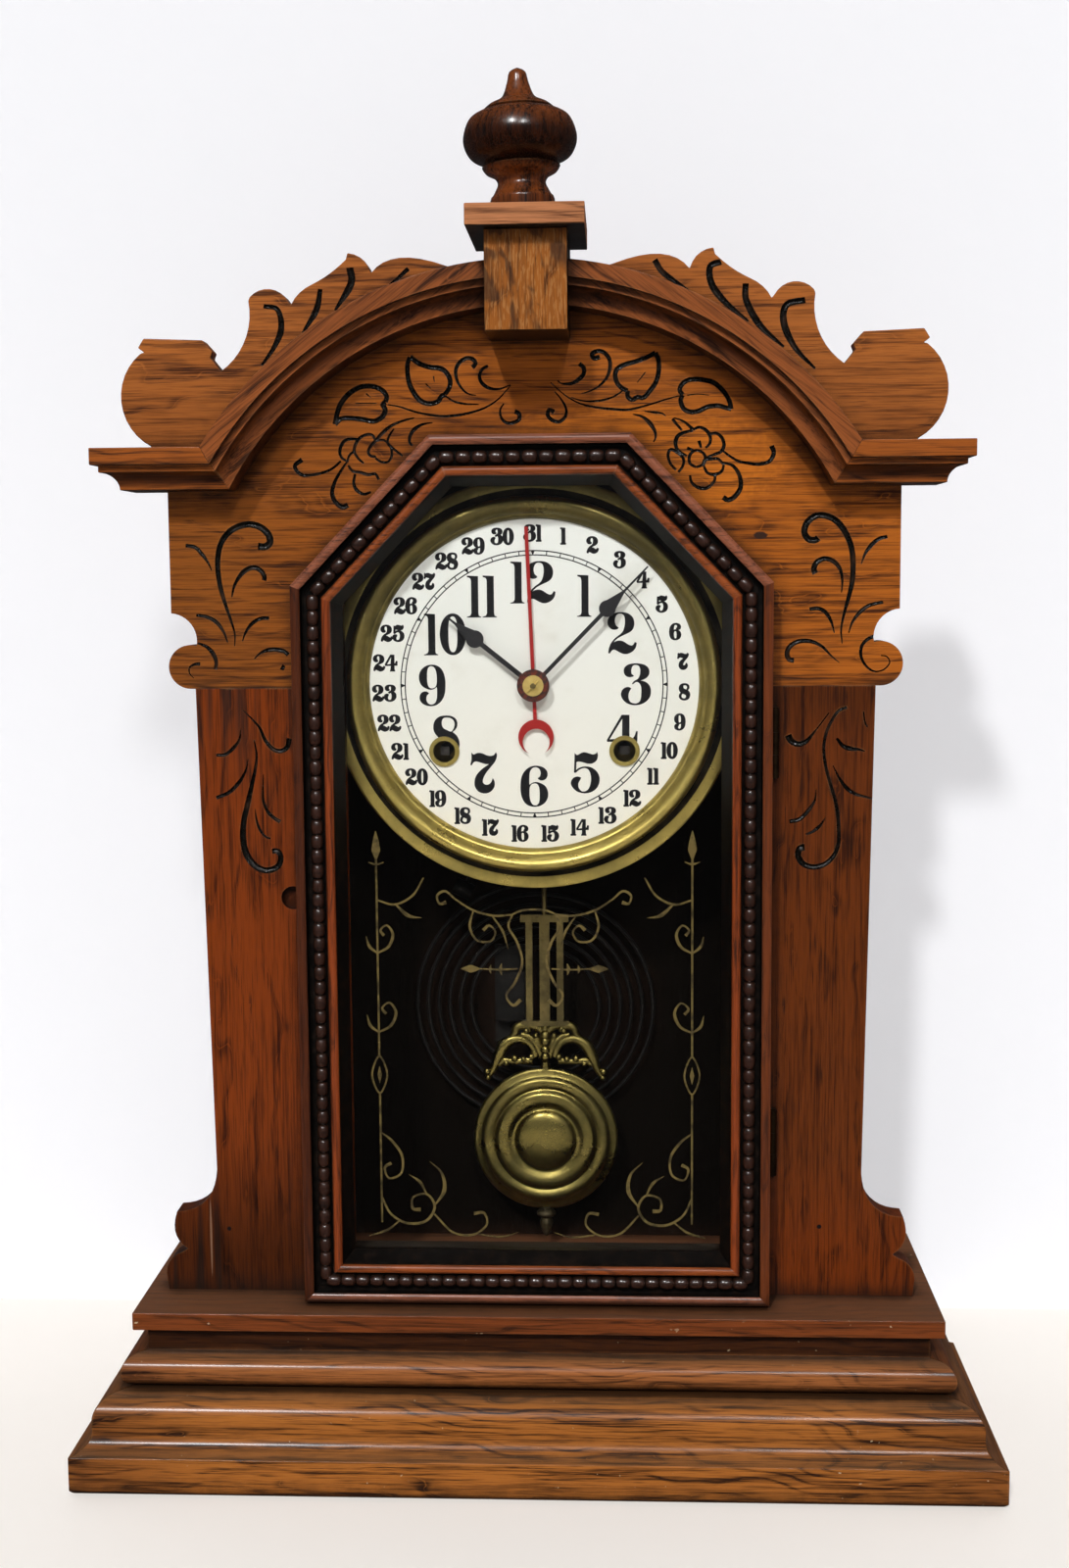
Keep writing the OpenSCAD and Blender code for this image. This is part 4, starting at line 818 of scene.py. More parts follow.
# Carving
# Each stroke is a line of (x, z) places on the board's face with its widths, in
# millimetres.
CARVING = {
    "upper_board": [
        ([(-52.2, 493.4), (-53.3, 490.4), (-53.3, 485.8), (-52.2, 480.9), (-49.7, 476.6),
          (-46.9, 474.1), (-43.5, 473.4), (-40.3, 474.3), (-38.8, 476.4), (-37.2, 477.3),
          (-35.3, 480.1), (-34.9, 483.4), (-36.4, 486.5), (-39.2, 488.4), (-44.2, 489.1),
          (-48.3, 490.6), (-51, 492.5), (-52.2, 493.4)], (1.7, 1.9, 1.8)),
        ([(-42.1, 485.1), (-41.7, 482.7)], (0.6, 0.3)),
        ([(-45.6, 482), (-43.4, 479.9)], (0.6, 0.3)),
        ([(-85.4, 465), (-84.4, 469.6), (-82.7, 473.9), (-78.9, 478.2), (-73.8, 480.9),
          (-68.8, 481.1), (-64.7, 479.5), (-62.6, 476.7), (-63.2, 474.3), (-64.5, 473.2),
          (-63.3, 471.2), (-64.6, 468.1), (-68.4, 466.2), (-73.4, 467), (-78.4, 467.6),
          (-82.8, 467.4), (-85.4, 465)], (1.9, 1.9, 1.8)),
        ([(-71.6, 478.1), (-69.5, 476.2)], (0.6, 0.3)),
        ([(-76.4, 474), (-67, 473.9)], (0.4, 0.4)),
        ([(-62.3, 473.2), (-57, 472.2), (-50.7, 470.1), (-44.5, 468.7), (-38.2, 468), (-32, 468.3),
          (-25.7, 469.5), (-19.4, 471.6), (-13.8, 475.2), (-8.7, 480.7)], (0.5, 1.1, 0.4)),
        ([(-37.2, 476.7), (-33.2, 474.2), (-28.2, 473.1), (-22.5, 472.8)], (0.6, 0.9, 0.4)),
        ([(-25.2, 488.6), (-23.7, 490.3), (-25.1, 492.2), (-27.9, 492.5), (-30.8, 490.7),
          (-32.4, 487.4), (-31.8, 483.1), (-29.3, 479.1), (-26.6, 477.2),
          (-23.7, 476.8)], (1.7, 1.4, 0.4)),
        ([(-18.3, 489.2), (-20.8, 487.9), (-22.1, 485.1), (-21.2, 482.1), (-18.1, 479.8),
          (-13.7, 479.3), (-8.7, 481)], (1.1, 1.4, 0.4)),
        ([(-11.6, 473.1), (-13.2, 470.6), (-12.9, 467.2), (-10.7, 464.9), (-7.6, 464.9),
          (-5.1, 466.2), (-5.1, 468.7), (-7, 469.6)], (0.5, 1.3, 1.7)),
        ([(-50.8, 467.4), (-55.8, 466.2), (-60.9, 464.1), (-64.7, 461.1), (-67.9, 457.7),
          (-70.2, 455.2), (-71.1, 452.8), (-69.9, 451.2), (-67.7, 450.9)], (0.6, 1.4, 1)),
        ([(-59.6, 462.9), (-61.6, 460.1), (-62.6, 457), (-60.7, 454.8), (-57.9, 452.6),
          (-56.1, 451.1)], (0.6, 1.1, 0.8)),
        ([(-42.7, 465.3), (-47.1, 464.6), (-50.9, 462.4), (-52.8, 459.4), (-52.8, 456.6),
          (-51.6, 455.7)], (0.4, 1.5, 1)),
        ([(-67.9, 457.7), (-64.1, 458), (-61.3, 455.2), (-60.8, 451.4), (-62.4, 448.7),
          (-65.5, 448.7), (-68, 450.3)], (0.8, 1, 0.9)),
        ([(-67.9, 458), (-69.1, 460.2), (-71.6, 460.5), (-74.8, 459), (-76.8, 455.9),
          (-77.1, 452.9), (-75, 449.7), (-73.1, 448.2)], (0.9, 1.3, 0.8)),
        ([(-74.8, 458.4), (-78, 458.7), (-81.1, 458.1), (-83.1, 455.4), (-83.5, 452.3),
          (-82.2, 450.1), (-80.4, 449.2)], (0.9, 1.4, 0.9)),
        ([(-80.4, 448.5), (-79.4, 451.6), (-77.1, 453.5)], (0.9, 1)),
        ([(-80.1, 447.3), (-77.9, 444.8), (-74.5, 444.2), (-71.3, 443.2), (-68.2, 443.5),
          (-66.6, 441)], (0.9, 1.3, 1)),
        ([(-77, 443.6), (-77.7, 439.8), (-76.5, 436.7), (-73.4, 434.8),
          (-70.2, 435.7)], (0.9, 1.4, 0.9)),
        ([(-83.2, 449.2), (-86.4, 446.4), (-90.2, 444.6), (-95.3, 443.4), (-100.7, 443.5),
          (-103.5, 447.2), (-100.2, 450)], (0.9, 1.1, 1.8)),
        ([(-80.7, 448.6), (-83.3, 444.9), (-85.9, 440.5), (-87.3, 435.6), (-86.1, 431.8),
          (-82.9, 429.3), (-80.4, 430.2)], (0.8, 1.5, 2)),
        ([(54, 493.9), (55.3, 490.5), (55.3, 485.5), (54, 481.2), (51.8, 478.1), (48.9, 475),
          (46.1, 475.1), (43.9, 474), (42, 475.4), (42, 477.9), (39.8, 478.9), (37.6, 481.1),
          (36.6, 484.5), (37.6, 487.3), (41.1, 489.1), (45.5, 490.3), (50.5, 492.1),
          (54, 493.9)], (1.7, 1.8, 1.7)),
        ([(49.6, 485.6), (46.1, 481.3)], (0.6, 0.3)),
        ([(86.6, 469.6), (85.6, 473.4), (82.8, 477.7), (79, 480.9), (73.9, 482.2), (68.9, 482.3),
          (65.7, 480.7), (64.4, 478), (65.7, 475.8), (64.8, 473.6), (66, 470.2), (68.9, 468.6),
          (72.7, 469), (76.5, 470.7), (80.9, 471.1), (84, 470.3), (86.6, 469.6)], (1.7, 1.8, 1.7)),
        ([(67.6, 475.7), (72, 476.1), (77.1, 475.6)], (0.5, 0.3)),
        ([(64.4, 475.5), (59.4, 474.3), (53.1, 472.4), (46.7, 470.7), (41.7, 469.8), (35.3, 470.2),
          (29, 470.9), (23.9, 471.9), (19.4, 473.6), (14.4, 476.7), (8.7, 481.8)], (0.5, 1, 0.3)),
        ([(39.8, 477.9), (36, 475.5), (31.5, 474.1), (25.8, 473.6), (21.4, 474.1),
          (17.5, 475.4)], (0.6, 0.9, 0.4)),
        ([(30, 492.4), (27.5, 491.8), (26.6, 493.7), (29.1, 494.9), (31.9, 494.2), (34.1, 491.4),
          (34.4, 487.7), (32.8, 483.3), (29, 479.6), (25.2, 477.8), (22, 476.9)], (1.8, 1.4, 0.3)),
        ([(21.1, 489.7), (23, 487.8), (23, 485.3), (20.8, 482.9), (17.6, 481.3), (13.1, 481.4),
          (11.9, 482.7)], (1.6, 1.6, 0.4)),
        ([(10.3, 478), (13.1, 474.8), (15.3, 470.7), (15, 467.3), (12.4, 465.1), (9.2, 465.8),
          (7.3, 468), (8, 470.2), (10.2, 469.2)], (0.4, 1.3, 1.6)),
        ([(44.2, 467.9), (48, 466.9), (51.2, 464.4), (53.7, 460.6), (54, 457.8),
          (53.1, 455.9)], (0.4, 1.7, 0.5)),
        ([(49.3, 469.1), (53.1, 468.6), (56.9, 468.1), (58.4, 466.8)], (0.4, 1, 0.4)),
        ([(61.3, 465.8), (63.2, 463.3), (65.4, 460.8)], (1.2, 0.9)),
        ([(61.9, 466.1), (65.7, 464.8), (68.9, 462.3), (70.2, 461)], (0.5, 1.3)),
        ([(70.2, 460.7), (67, 460.1), (63.8, 458.6), (62.6, 455.8), (63.2, 453), (65.1, 451.1),
          (67.6, 449.8)], (1, 1.6, 0.9)),
        ([(70.2, 461), (72.7, 462), (75.5, 461), (77.4, 458.5), (77.5, 455.3),
          (75.6, 453.2)], (1, 1.4, 0.9)),
        ([(77.4, 459.1), (80.3, 459.4), (82.8, 457.2), (83.5, 454), (82.2, 451.5), (79.1, 450.3),
          (76.2, 449.1)], (1, 1.4, 0.9)),
        ([(74.9, 445.3), (74.9, 447.8), (77.8, 448.4), (81, 448.4), (83.5, 445.9), (82.6, 443.1),
          (79.7, 441.8), (76.5, 442.5), (74.9, 445.3)], (0.9, 1.3, 0.9)),
        ([(79.7, 441.5), (79.4, 439), (76.6, 436.2), (72.7, 436.2), (69.6, 438.5),
          (68.9, 441.6)], (1, 1.4, 0.9)),
        ([(62.9, 443.9), (60.4, 446.7), (59.4, 450.5), (60.7, 452.7), (63.8, 451.1), (66.1, 448.6),
          (65.7, 445.4), (63.8, 442.9)], (0.9, 1.3, 0.9)),
        ([(72.1, 452.3), (74.6, 451), (75.6, 448.5), (74.3, 446), (71.5, 445), (68.9, 446.6),
          (68.6, 449.8), (70.2, 451.7), (72.1, 452.3)], (1, 1.2, 1)),
        ([(67.6, 453.2), (70.2, 452.3)], (1.3, 0.9)),
        ([(72.7, 456.3), (73.7, 453.2)], (1.3, 0.9)),
        ([(82.8, 452.1), (86, 449.6), (89.8, 447.4), (94.3, 446.4), (98.7, 446), (103.1, 447.2),
          (105, 450.7), (104, 453.8)], (0.8, 1.2, 1.8)),
        ([(82.9, 446.8), (87.3, 445.5), (90.2, 441.4), (90.8, 436.4), (88.6, 432.6), (85.5, 430.8),
          (83.2, 432)], (0.9, 1.7, 1.9)),
        ([(-132, 368.9), (-131.8, 374.2), (-133.5, 380.5), (-135.5, 386.7), (-137.4, 393.5),
          (-138.5, 400.3), (-138.6, 406.6), (-137.4, 412.8), (-134.7, 417.4), (-130.4, 420.7),
          (-124.5, 422.2), (-119.3, 420.9), (-115.7, 417.5), (-115.3, 414.1), (-117.4, 412.4),
          (-120.6, 412.6)], (0.4, 1.8, 2.3, 2.7)),
        ([(-132.7, 390.4), (-131.6, 395.1), (-129.3, 399.2), (-126.1, 402.3), (-122.4, 403.3),
          (-119.3, 401.7), (-118, 399.1), (-118.3, 397.6)], (0.6, 1.8, 1.8)),
        ([(-152.7, 413.2), (-148.5, 412.4), (-145.4, 409.2), (-142.9, 405.6),
          (-141.4, 402.2)], (1.4, 1.5, 0.4)),
        ([(-148.8, 382.6), (-144.1, 381.8), (-139.9, 379.5), (-136.8, 375.2),
          (-135.1, 370.5)], (1.1, 1.6, 0.5)),
        ([(-116.3, 381.1), (-120.3, 380.9), (-124, 378.8), (-126.8, 375.2),
          (-128.5, 371)], (1.4, 1.4, 0.4)),
        ([(-123.4, 363.1), (-120.6, 365.7), (-117.4, 367), (-113.7, 367.2), (-110, 366.4),
          (-108.2, 364.8)], (0.4, 1.7, 1.6)),
        ([(-111.5, 359.6), (-110, 358.8)], (2.1, 1.8)),
        ([(-148.4, 370.3), (-144.4, 368.5), (-141.6, 365.3), (-140.4, 361.6),
          (-141, 358.5)], (0.8, 1.7, 1.3)),
        ([(-147.6, 361.1), (-150, 360.9), (-152.4, 359.6), (-152.5, 356.9),
          (-150.7, 354.8)], (1.4, 0.7, 0.3)),
        ([(135.2, 368.4), (134.7, 374.6), (135.9, 381.3), (137.8, 388.5), (139.3, 395.6),
          (139.5, 403.8), (138.6, 410.5), (136, 416.6), (132.4, 421.2), (127.8, 423.6),
          (123.2, 423.6), (119.6, 420.8), (118.4, 416.8), (120.2, 413.7), (123, 413.2),
          (124.5, 414.2)], (0.4, 1.9, 2.3, 2.4)),
        ([(134.7, 390.5), (135, 395.7), (133.9, 400.8), (131, 404.1), (127.4, 405.2),
          (124.1, 403.9), (122.6, 400.9), (123.4, 398.8)], (0.4, 1.7, 2.2)),
        ([(143.1, 402.8), (144.8, 407.4), (147.8, 411.4), (150.9, 413.7),
          (154.2, 414.5)], (0.4, 1.6, 1.3)),
        ([(131.8, 373), (130.3, 378.2), (127.6, 382.3), (124.5, 383.7),
          (120.9, 383.4)], (0.4, 1.5, 1.4)),
        ([(138, 373), (139.5, 377.6), (142.5, 381.7), (146.6, 384.8),
          (152.7, 386.3)], (0.4, 1.5, 1.2)),
        ([(134, 360.1), (130.4, 363.2), (126.2, 367.4), (121.1, 369.5), (115.9, 369.3),
          (112.3, 367), (111.3, 363.9), (112.4, 361.5), (114.4, 361.2)], (0.3, 1.6, 1.9)),
        ([(150.4, 371.6), (146.8, 370.6), (144, 367.8), (143.3, 364.2), (144.3, 360.6),
          (146.9, 357.4), (150, 356.1), (153.6, 357.1), (155.9, 360), (154.6, 362.6),
          (152, 363.1)], (1.4, 1.2, 0.6, 0.5)),
    ],
    "pillar_left": [
        ([(-129, 340.4), (-125, 336.4), (-121.7, 332.4), (-119.5, 327.2), (-116.2, 323.2),
          (-112.8, 322.1), (-109.6, 323.8), (-108.6, 327.8)], (0.3, 1.4, 2)),
        ([(-130.3, 331.8), (-131, 327.3), (-134, 323.3), (-137.5, 320.7),
          (-141.6, 320.4)], (0.3, 1.4, 1.2)),
        ([(-127.2, 318.7), (-128.5, 313.5), (-131.5, 308.3), (-136.2, 303.7),
          (-142.1, 301.2)], (0.3, 1.5, 1.4)),
        ([(-124.4, 327.2), (-123.4, 320.4), (-124.2, 314.1), (-126.1, 306), (-128, 298.5),
          (-129.9, 290.5), (-130.4, 282.4), (-128.9, 275.4), (-124.9, 270.2), (-119.8, 268.4),
          (-115.1, 270.2), (-113.6, 274.2), (-114.9, 277.1), (-117.5, 277.1)], (0.5, 1.9, 2.6, 2)),
        ([(-120.5, 311.8), (-120.9, 305.4), (-120.8, 299.7), (-119.1, 295.1), (-116.3, 292.2),
          (-113.5, 290.4)], (0.3, 1.1, 1.5)),
        ([(-124.6, 296.2), (-124.1, 291), (-122.5, 286.4), (-120, 283.5),
          (-118, 282.9)], (0.3, 1.1, 0.7)),
    ],
    "pillar_right": [
        ([(112, 328.4), (113.4, 325.8), (116.5, 324.4), (119.9, 325.5), (122.6, 328.6),
          (125.4, 332.2), (129.8, 338.1)], (2.6, 1.9, 0.5, 0.5)),
        ([(137.6, 340.6), (133.7, 338.7), (130.4, 333.6), (128.5, 328.6), (127.7, 322.9),
          (128.3, 316.2), (130.1, 308.8), (132.4, 301.4), (133.9, 294.6), (134.5, 287.8),
          (134.6, 280.9), (132.7, 275.2), (128.8, 271.2), (123.7, 269.8), (119.2, 271.2),
          (116.9, 274.7), (117.5, 278.1), (119.7, 278.7)], (1.1, 1.2, 1.5, 2.5)),
        ([(133.3, 326.9), (136.1, 323.5), (139.5, 322.3), (142.8, 322),
          (145.6, 321.2)], (1, 1.9, 0.5)),
        ([(131.7, 315), (134.6, 309.3), (138, 304.8), (141.9, 302.2), (145.9, 301.1),
          (149.5, 300)], (0.3, 1.6, 0.6)),
        ([(124.5, 304.3), (124, 299.7), (121.3, 295.2), (117.4, 291.2),
          (112.9, 290.1)], (0.3, 1.5, 1.5)),
        ([(128.6, 291.8), (126.4, 288.3), (123, 285.5), (120.2, 284.4)], (0.3, 1.4, 0.7)),
        ([(144.8, 338.6), (145.5, 334.1), (146.6, 331.9)], (0.5, 0.7)),
    ],
    "crest_board": [
        ([(-115.6, 515.8), (-109.6, 514.3), (-108.1, 506.3), (-111.3, 498.5),
          (-117.1, 490.6)], (1.5, 2.4, 0.9)),
        ([(-90.7, 522.7), (-92.6, 514), (-98.8, 504.1)], (1.7, 2.4, 0.9)),
        ([(-77.7, 531.6), (-77.4, 524.6), (-84.5, 513.5)], (2.6, 2.6, 0.9)),
        ([(-52.3, 530.8), (-60.4, 523.9)], (1.7, 1.1)),
        ([(53.6, 532.9), (57.7, 527.1), (68.6, 519.6)], (2.2, 2, 0.7)),
        ([(82, 531.7), (77.4, 529.7), (77.9, 522.8), (83.3, 515.3),
          (93.8, 506.5)], (2.2, 2.6, 0.9)),
        ([(92.5, 522.5), (92.9, 515.2), (98.8, 504.8), (109, 495.6)], (2.2, 2.6, 0.9)),
        ([(118, 515.2), (110.1, 513.3), (108.9, 505.9), (113.6, 495.5),
          (122.4, 486.3)], (2.2, 2.6, 0.9)),
    ],
}


def gouge(points, widths):
    """A round-nosed cutter that follows one carved stroke."""
    bm = bmesh.new()
    line = smooth_line([(x, FACE, z) for x, z in points], 0.8)
    rings = []
    for i, (p, share) in enumerate(line):
        half = between(widths, share) * 0.62
        sink = min(0.4 + 0.85 * half, 1.7)
        rings.append(oval(p - 0.12 * OUT, heading(line, i).cross(OUT), OUT, half, sink, 8))
    tube(bm, rings, material=1)
    return placed("gouge", closed_mesh(bm, "gouge", None, GROOVE))


def halves(points, widths):
    """A closed outline is cut as two strokes, so that no cutter meets itself."""
    if points[0] != points[-1]:
        return [(points, widths)]
    k = len(points) // 2
    return [(points[: k + 1], widths), (points[k:], widths)]


# Case
for node, wood in (
    ("upper_board", "upper"),
    ("crest_board", "crest"),
    ("pillar_left", "pillar_l"),
    ("pillar_right", "pillar_r"),
):
    cutters = [gouge(*part) for stroke in CARVING[node] for part in halves(*stroke)]
    dressed(node, "case", "case_oak", OAK[wood], 0.45, cutters, (GROOVE,))

for node, wood, slot, width in (
    ("base_front_moulding", "base", "base_oak", 0.5),
    ("base_side_mouldings", "base_side", "base_oak", 0.5),
    ("neck_front_moulding", "neck", "case_oak", 0.4),
    ("neck_side_mouldings", "neck_side", "case_oak", 0.4),
    ("plinth_board", "plinth", "base_oak", 0.5),
    ("base_back_rail", "case_top", "base_oak", 0.3),
    ("case_sides", "case_side", "dark_oak", 0.4),
    ("case_top", "case_top", "dark_oak", 0.4),
    ("case_back", "back", "dark_oak", 0.3),
    ("cornice_ends", "cornice", "case_oak", 0.35),
    ("keystone_block", "keystone", "case_oak", 0.5),
    ("cap_plate", "cap", "case_oak", 0.4),
    ("sill_rail", "sill", "dark_oak", 0.4),
):
    dressed(node, "case", slot, OAK[wood], width)


def arch_halves():
    """The two arch mouldings, each with its own run of grain."""
    bm = ease(shape_of("arch_mouldings"), 0.35)
    for face in bm.faces:
        face.material_index = 1 if face.calc_center_median().x > 0 else 0
    mesh = settled(to_mesh(bm, "arch_mouldings", OAK["arch_l"], OAK["arch_r"]))
    add_piece("arch_mouldings_dressed", mesh, "case", "case_oak", "arch_mouldings")


def turned_finial():
    """Foot, waist with ring, bulb, then ledge and spire, as (radius, height) in mm."""
    waist = [(12.4, 8.5), (10.9, 11.3), (10.1, 13.6), (11.6, 16.2), (15.0, 18.0), (16.5, 20.2)]
    bulb = [(15.6, 21.6), (21.4, 24.7), (24.0, 31.4), (21.6, 39.2), (17.2, 42.3), (14.3, 43.0)]
    spire = [(14.7, 43.9), (12.6, 45.6), (7.1, 48.6), (4.6, 54.4), (3.4, 58.8), (0, 60.7)]
    profile = [(0, 0), (13.2, 0), (13.6, 0.4), (13.6, 6.6), (13.2, 7.8)]
    for stretch in (waist, bulb, spire):
        profile += [tuple(place) for place, _ in smooth_line(stretch, 1.0)]
    bm = bmesh.new()
    turned(bm, profile, 72)
    foot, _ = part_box("finial")
    lean = Matrix.Rotation(math.radians(-2), 4, "Y")
    off_middle, to_front = -1.9 * MM, -28.3 * MM
    bm.transform(Matrix.Translation((off_middle, to_front, foot.z)) @ lean)
    for v in bm.verts:
        v.co.z = max(v.co.z, foot.z)
    mesh = settled(closed_mesh(bm, "finial", OAK["finial"]), 40)
    add_piece("finial_turned", mesh, "case", "dark_oak", "finial")


arch_halves()
turned_finial()


# Door
# The door's outline as (x, z) places, from its lower left corner anticlockwise
DOOR = [(-104, 74.6), (104, 74.6), (104, 395.3), (43.2, 458.8), (-43.2, 458.8), (-104, 395.3)]
BEAD_IN = 9.3  # the beads' middle line, in from the door's edge
BEAD_OUT = 14.2  # the beads' middle line, out from the boards' face


def inset(corners, gap):
    """The outline moved in by gap, its corners still mitred."""
    moved = []
    n = len(corners)
    for i in range(n):
        p, a, b = (Vector(corners[k % n]) for k in (i, i - 1, i + 1))
        u = (p - a).normalized()
        v = (b - p).normalized()
        nu, nv = Vector((-u.y, u.x)), Vector((-v.y, v.x))
        moved.append(p + (nu + nv) * (gap / (1 + nu.dot(nv))))
    return moved


def blackened_moulding():
    """The near-black groove and slopes of the door frame, a little worn."""
    m, w, skin, _ = finish_named("blackened moulding")
    cloud = w.noise(w.place(), scale=220.0, detail=4.0, rough=0.6)
    worn = w.step(cloud, 0.45, 0.75)
    shade = w.blend(worn, colour(0.004, 0.003, 0.0025), colour(0.014, 0.007, 0.004))
    w.join(shade, skin.inputs["Base Color"])
    w.join(w.step(cloud, 0.3, 0.8, 0.3, 0.5), skin.inputs["Roughness"])
    set_gloss(skin, 0.15)
    w.bump(skin, cloud, 0.1, 0.0003)
    return m


BLACKENED = blackened_moulding()
# What a place on a door rail's section is on; all but the rebate are material indexes too
OUTER, BLACK, INNER, REBATE = 0, 1, 2, 3


def door_section():
    """The frame's section: runs of (in from the edge, out from the face) by finish."""
    nosing, bead = [], []
    for turn in range(30, 170, 20):
        nosing.append((2.2 - polar(2.2, turn)[0], 16.3 + polar(1.7, turn)[1]))
    for turn in range(0, 170, 20):
        bead.append((15.2 - polar(2.1, turn)[0], 14.9 + polar(2.1, turn)[1]))
    groove = [(4.4, 15.2), (4.5, 12.9), (6.3, 12.8), (6.45, 13.4), (12.1, 13.4), (12.25, 13.0)]
    slope = [(17.3, 14.6), (17.6, 14.1), (21.4, 7.6)]
    rebate = [(21.5, 7.5), (16.5, 7.5), (16.5, 0.3)]
    runs = (
        ([(0, 0.3), (0, 17.0)] + nosing, OUTER),
        (groove, BLACK),
        ([(13.0, 13.0)] + bead, INNER),
        (slope, BLACK),
        (rebate, REBATE),
    )
    return [(u, d, kind) for run, kind in runs for u, d in run]


def door_rails():
    """Rails and stiles swept along the door's outline, mitred at its corners."""
    section = door_section()
    lines = [inset(DOOR, u) for u, _, _ in section]
    n = len(section)
    for node, sides, grain in (
        ("door_bottom_rail", (0,), "x"),
        ("door_stile_right", (1,), "z"),
        ("door_corner_rails", (2, 4), "x"),
        ("door_top_rail", (3,), "x"),
        ("door_stile_left", (5,), "z"),
    ):
        bm = bmesh.new()
        for side in sides:
            ends = [
                [Vector((line[k].x, FACE - d, line[k].y)) for line, (_, d, _) in zip(lines, section)]
                for k in (side, (side + 1) % 6)
            ]
            steps = max(2, int((ends[1][0] - ends[0][0]).length / 12))
            rings = [
                [bm.verts.new(a.lerp(b, s / steps) * MM) for a, b in zip(*ends)]
                for s in range(steps + 1)
            ]
            for p, q in zip(rings, rings[1:]):
                for i in range(n):
                    j = (i + 1) % n
                    face = bm.faces.new((p[i], p[j], q[j], q[i]))
                    kind = section[i][2] if section[i][2] == section[j][2] else BLACK
                    face.material_index = OUTER if kind == REBATE else kind
            bm.faces.new(rings[0])
            bm.faces.new(rings[-1])
        finishes = OAK["door_" + grain], BLACKENED, OAK["inner_" + grain]
        mesh = settled(closed_mesh(bm, node, *finishes), 30)
        add_piece(node + "_moulded", mesh, "door", "dark_oak", node)


door_rails()


def beads_along(name, runs, sizes, material):
    """Notched barrels set side by side along straight runs, as one plain mesh."""
    tree = bpy.data.node_groups.new(name, "GeometryNodeTree")
    face = tree.interface
    face.new_socket("Geometry", in_out="INPUT", socket_type="NodeSocketGeometry")
    wanted = sizes | {"Finish": material}
    sockets = {}
    for label in wanted:
        kind = "NodeSocketMaterial" if label == "Finish" else "NodeSocketFloat"
        sockets[label] = face.new_socket(label, in_out="INPUT", socket_type=kind).identifier
    face.new_socket("Geometry", in_out="OUTPUT", socket_type="NodeSocketGeometry")

    def node(kind, feeds=None, **settings):
        return add_node(tree, kind, feeds, settings)

    def scaled(vector, factor):
        feeds = {0: vector, "Scale": factor}
        return node("ShaderNodeVectorMath", feeds, operation="SCALE").outputs[0]

    give = node("NodeGroupInput").outputs
    line = node("GeometryNodeMeshToCurve", {0: give["Geometry"]}).outputs[0]
    feeds = {"Curve": line, "Length": give["Pitch"]}
    spaced = node("GeometryNodeResampleCurve", feeds, mode="LENGTH").outputs[0]
    spots = node("GeometryNodeCurveToPoints", {"Curve": spaced}, mode="EVALUATED").outputs
    part = node("ShaderNodeSeparateXYZ", {0: node("GeometryNodeInputPosition").outputs[0]}).outputs
    flat = node("ShaderNodeCombineXYZ", {0: part[0], 1: part[1]}).outputs[0]
    reach = node("ShaderNodeVectorMath", {0: flat}, operation="LENGTH").outputs["Value"]
    reach = node("ShaderNodeMath", {0: reach, 1: 0.001}, operation="MAXIMUM").outputs[0]
    swell = node("ShaderNodeMath", {0: reach, 1: -0.6}, operation="POWER").outputs[0]
    apart = node("ShaderNodeSeparateXYZ", {0: scaled(flat, swell)}).outputs
    fat = node("ShaderNodeCombineXYZ", {0: apart[0], 1: apart[1], 2: part[2]}).outputs[0]
    ball = node("GeometryNodeMeshUVSphere", {"Segments": 12, "Rings": 7, "Radius": 1.0}).outputs[0]
    barrel = node("GeometryNodeSetPosition", {"Geometry": ball, "Position": fat}).outputs[0]
    size = {0: give["Across"], 1: give["Proud"], 2: give["Along"]}
    size = node("ShaderNodeCombineXYZ", size).outputs[0]
    feeds = {"Primary Axis": spots["Tangent"], "Secondary Axis": tuple(OUT)}
    axes = {"primary_axis": "Z", "secondary_axis": "Y"}
    turn = node("FunctionNodeAxesToRotation", feeds, **axes).outputs[0]
    wobble = node("FunctionNodeRandomValue", {"Seed": 7}, data_type="FLOAT")
    limits = {"Min": 0.94, "Max": 1.03}
    for s in wobble.inputs:
        if s.name in limits and s.type == "VALUE":
            s.default_value = limits[s.name]
    size = scaled(size, [o for o in wobble.outputs if o.enabled][0])
    feeds = {"Points": spots["Points"], "Instance": barrel, "Rotation": turn, "Scale": size}
    put = node("GeometryNodeInstanceOnPoints", feeds).outputs[0]
    real = node("GeometryNodeRealizeInstances", {0: put}).outputs[0]
    smooth = node("GeometryNodeSetShadeSmooth", {0: real}).outputs[0]
    done = node("GeometryNodeSetMaterial", {0: smooth, "Material": give["Finish"]}).outputs[0]
    node("NodeGroupOutput", {0: done})
    mesh = bpy.data.meshes.new(name)
    edges = [(2 * i, 2 * i + 1) for i in range(len(runs))]
    mesh.from_pydata([place for run in runs for place in run], edges, [])
    bench = placed(name, mesh)
    maker = bench.modifiers.new(name, "NODES")
    maker.node_group = tree
    for label, value in wanted.items():
        maker[sockets[label]] = value
    bpy.context.view_layer.update()
    made = as_mesh(bench)
    bpy.data.objects.remove(bench)
    return made


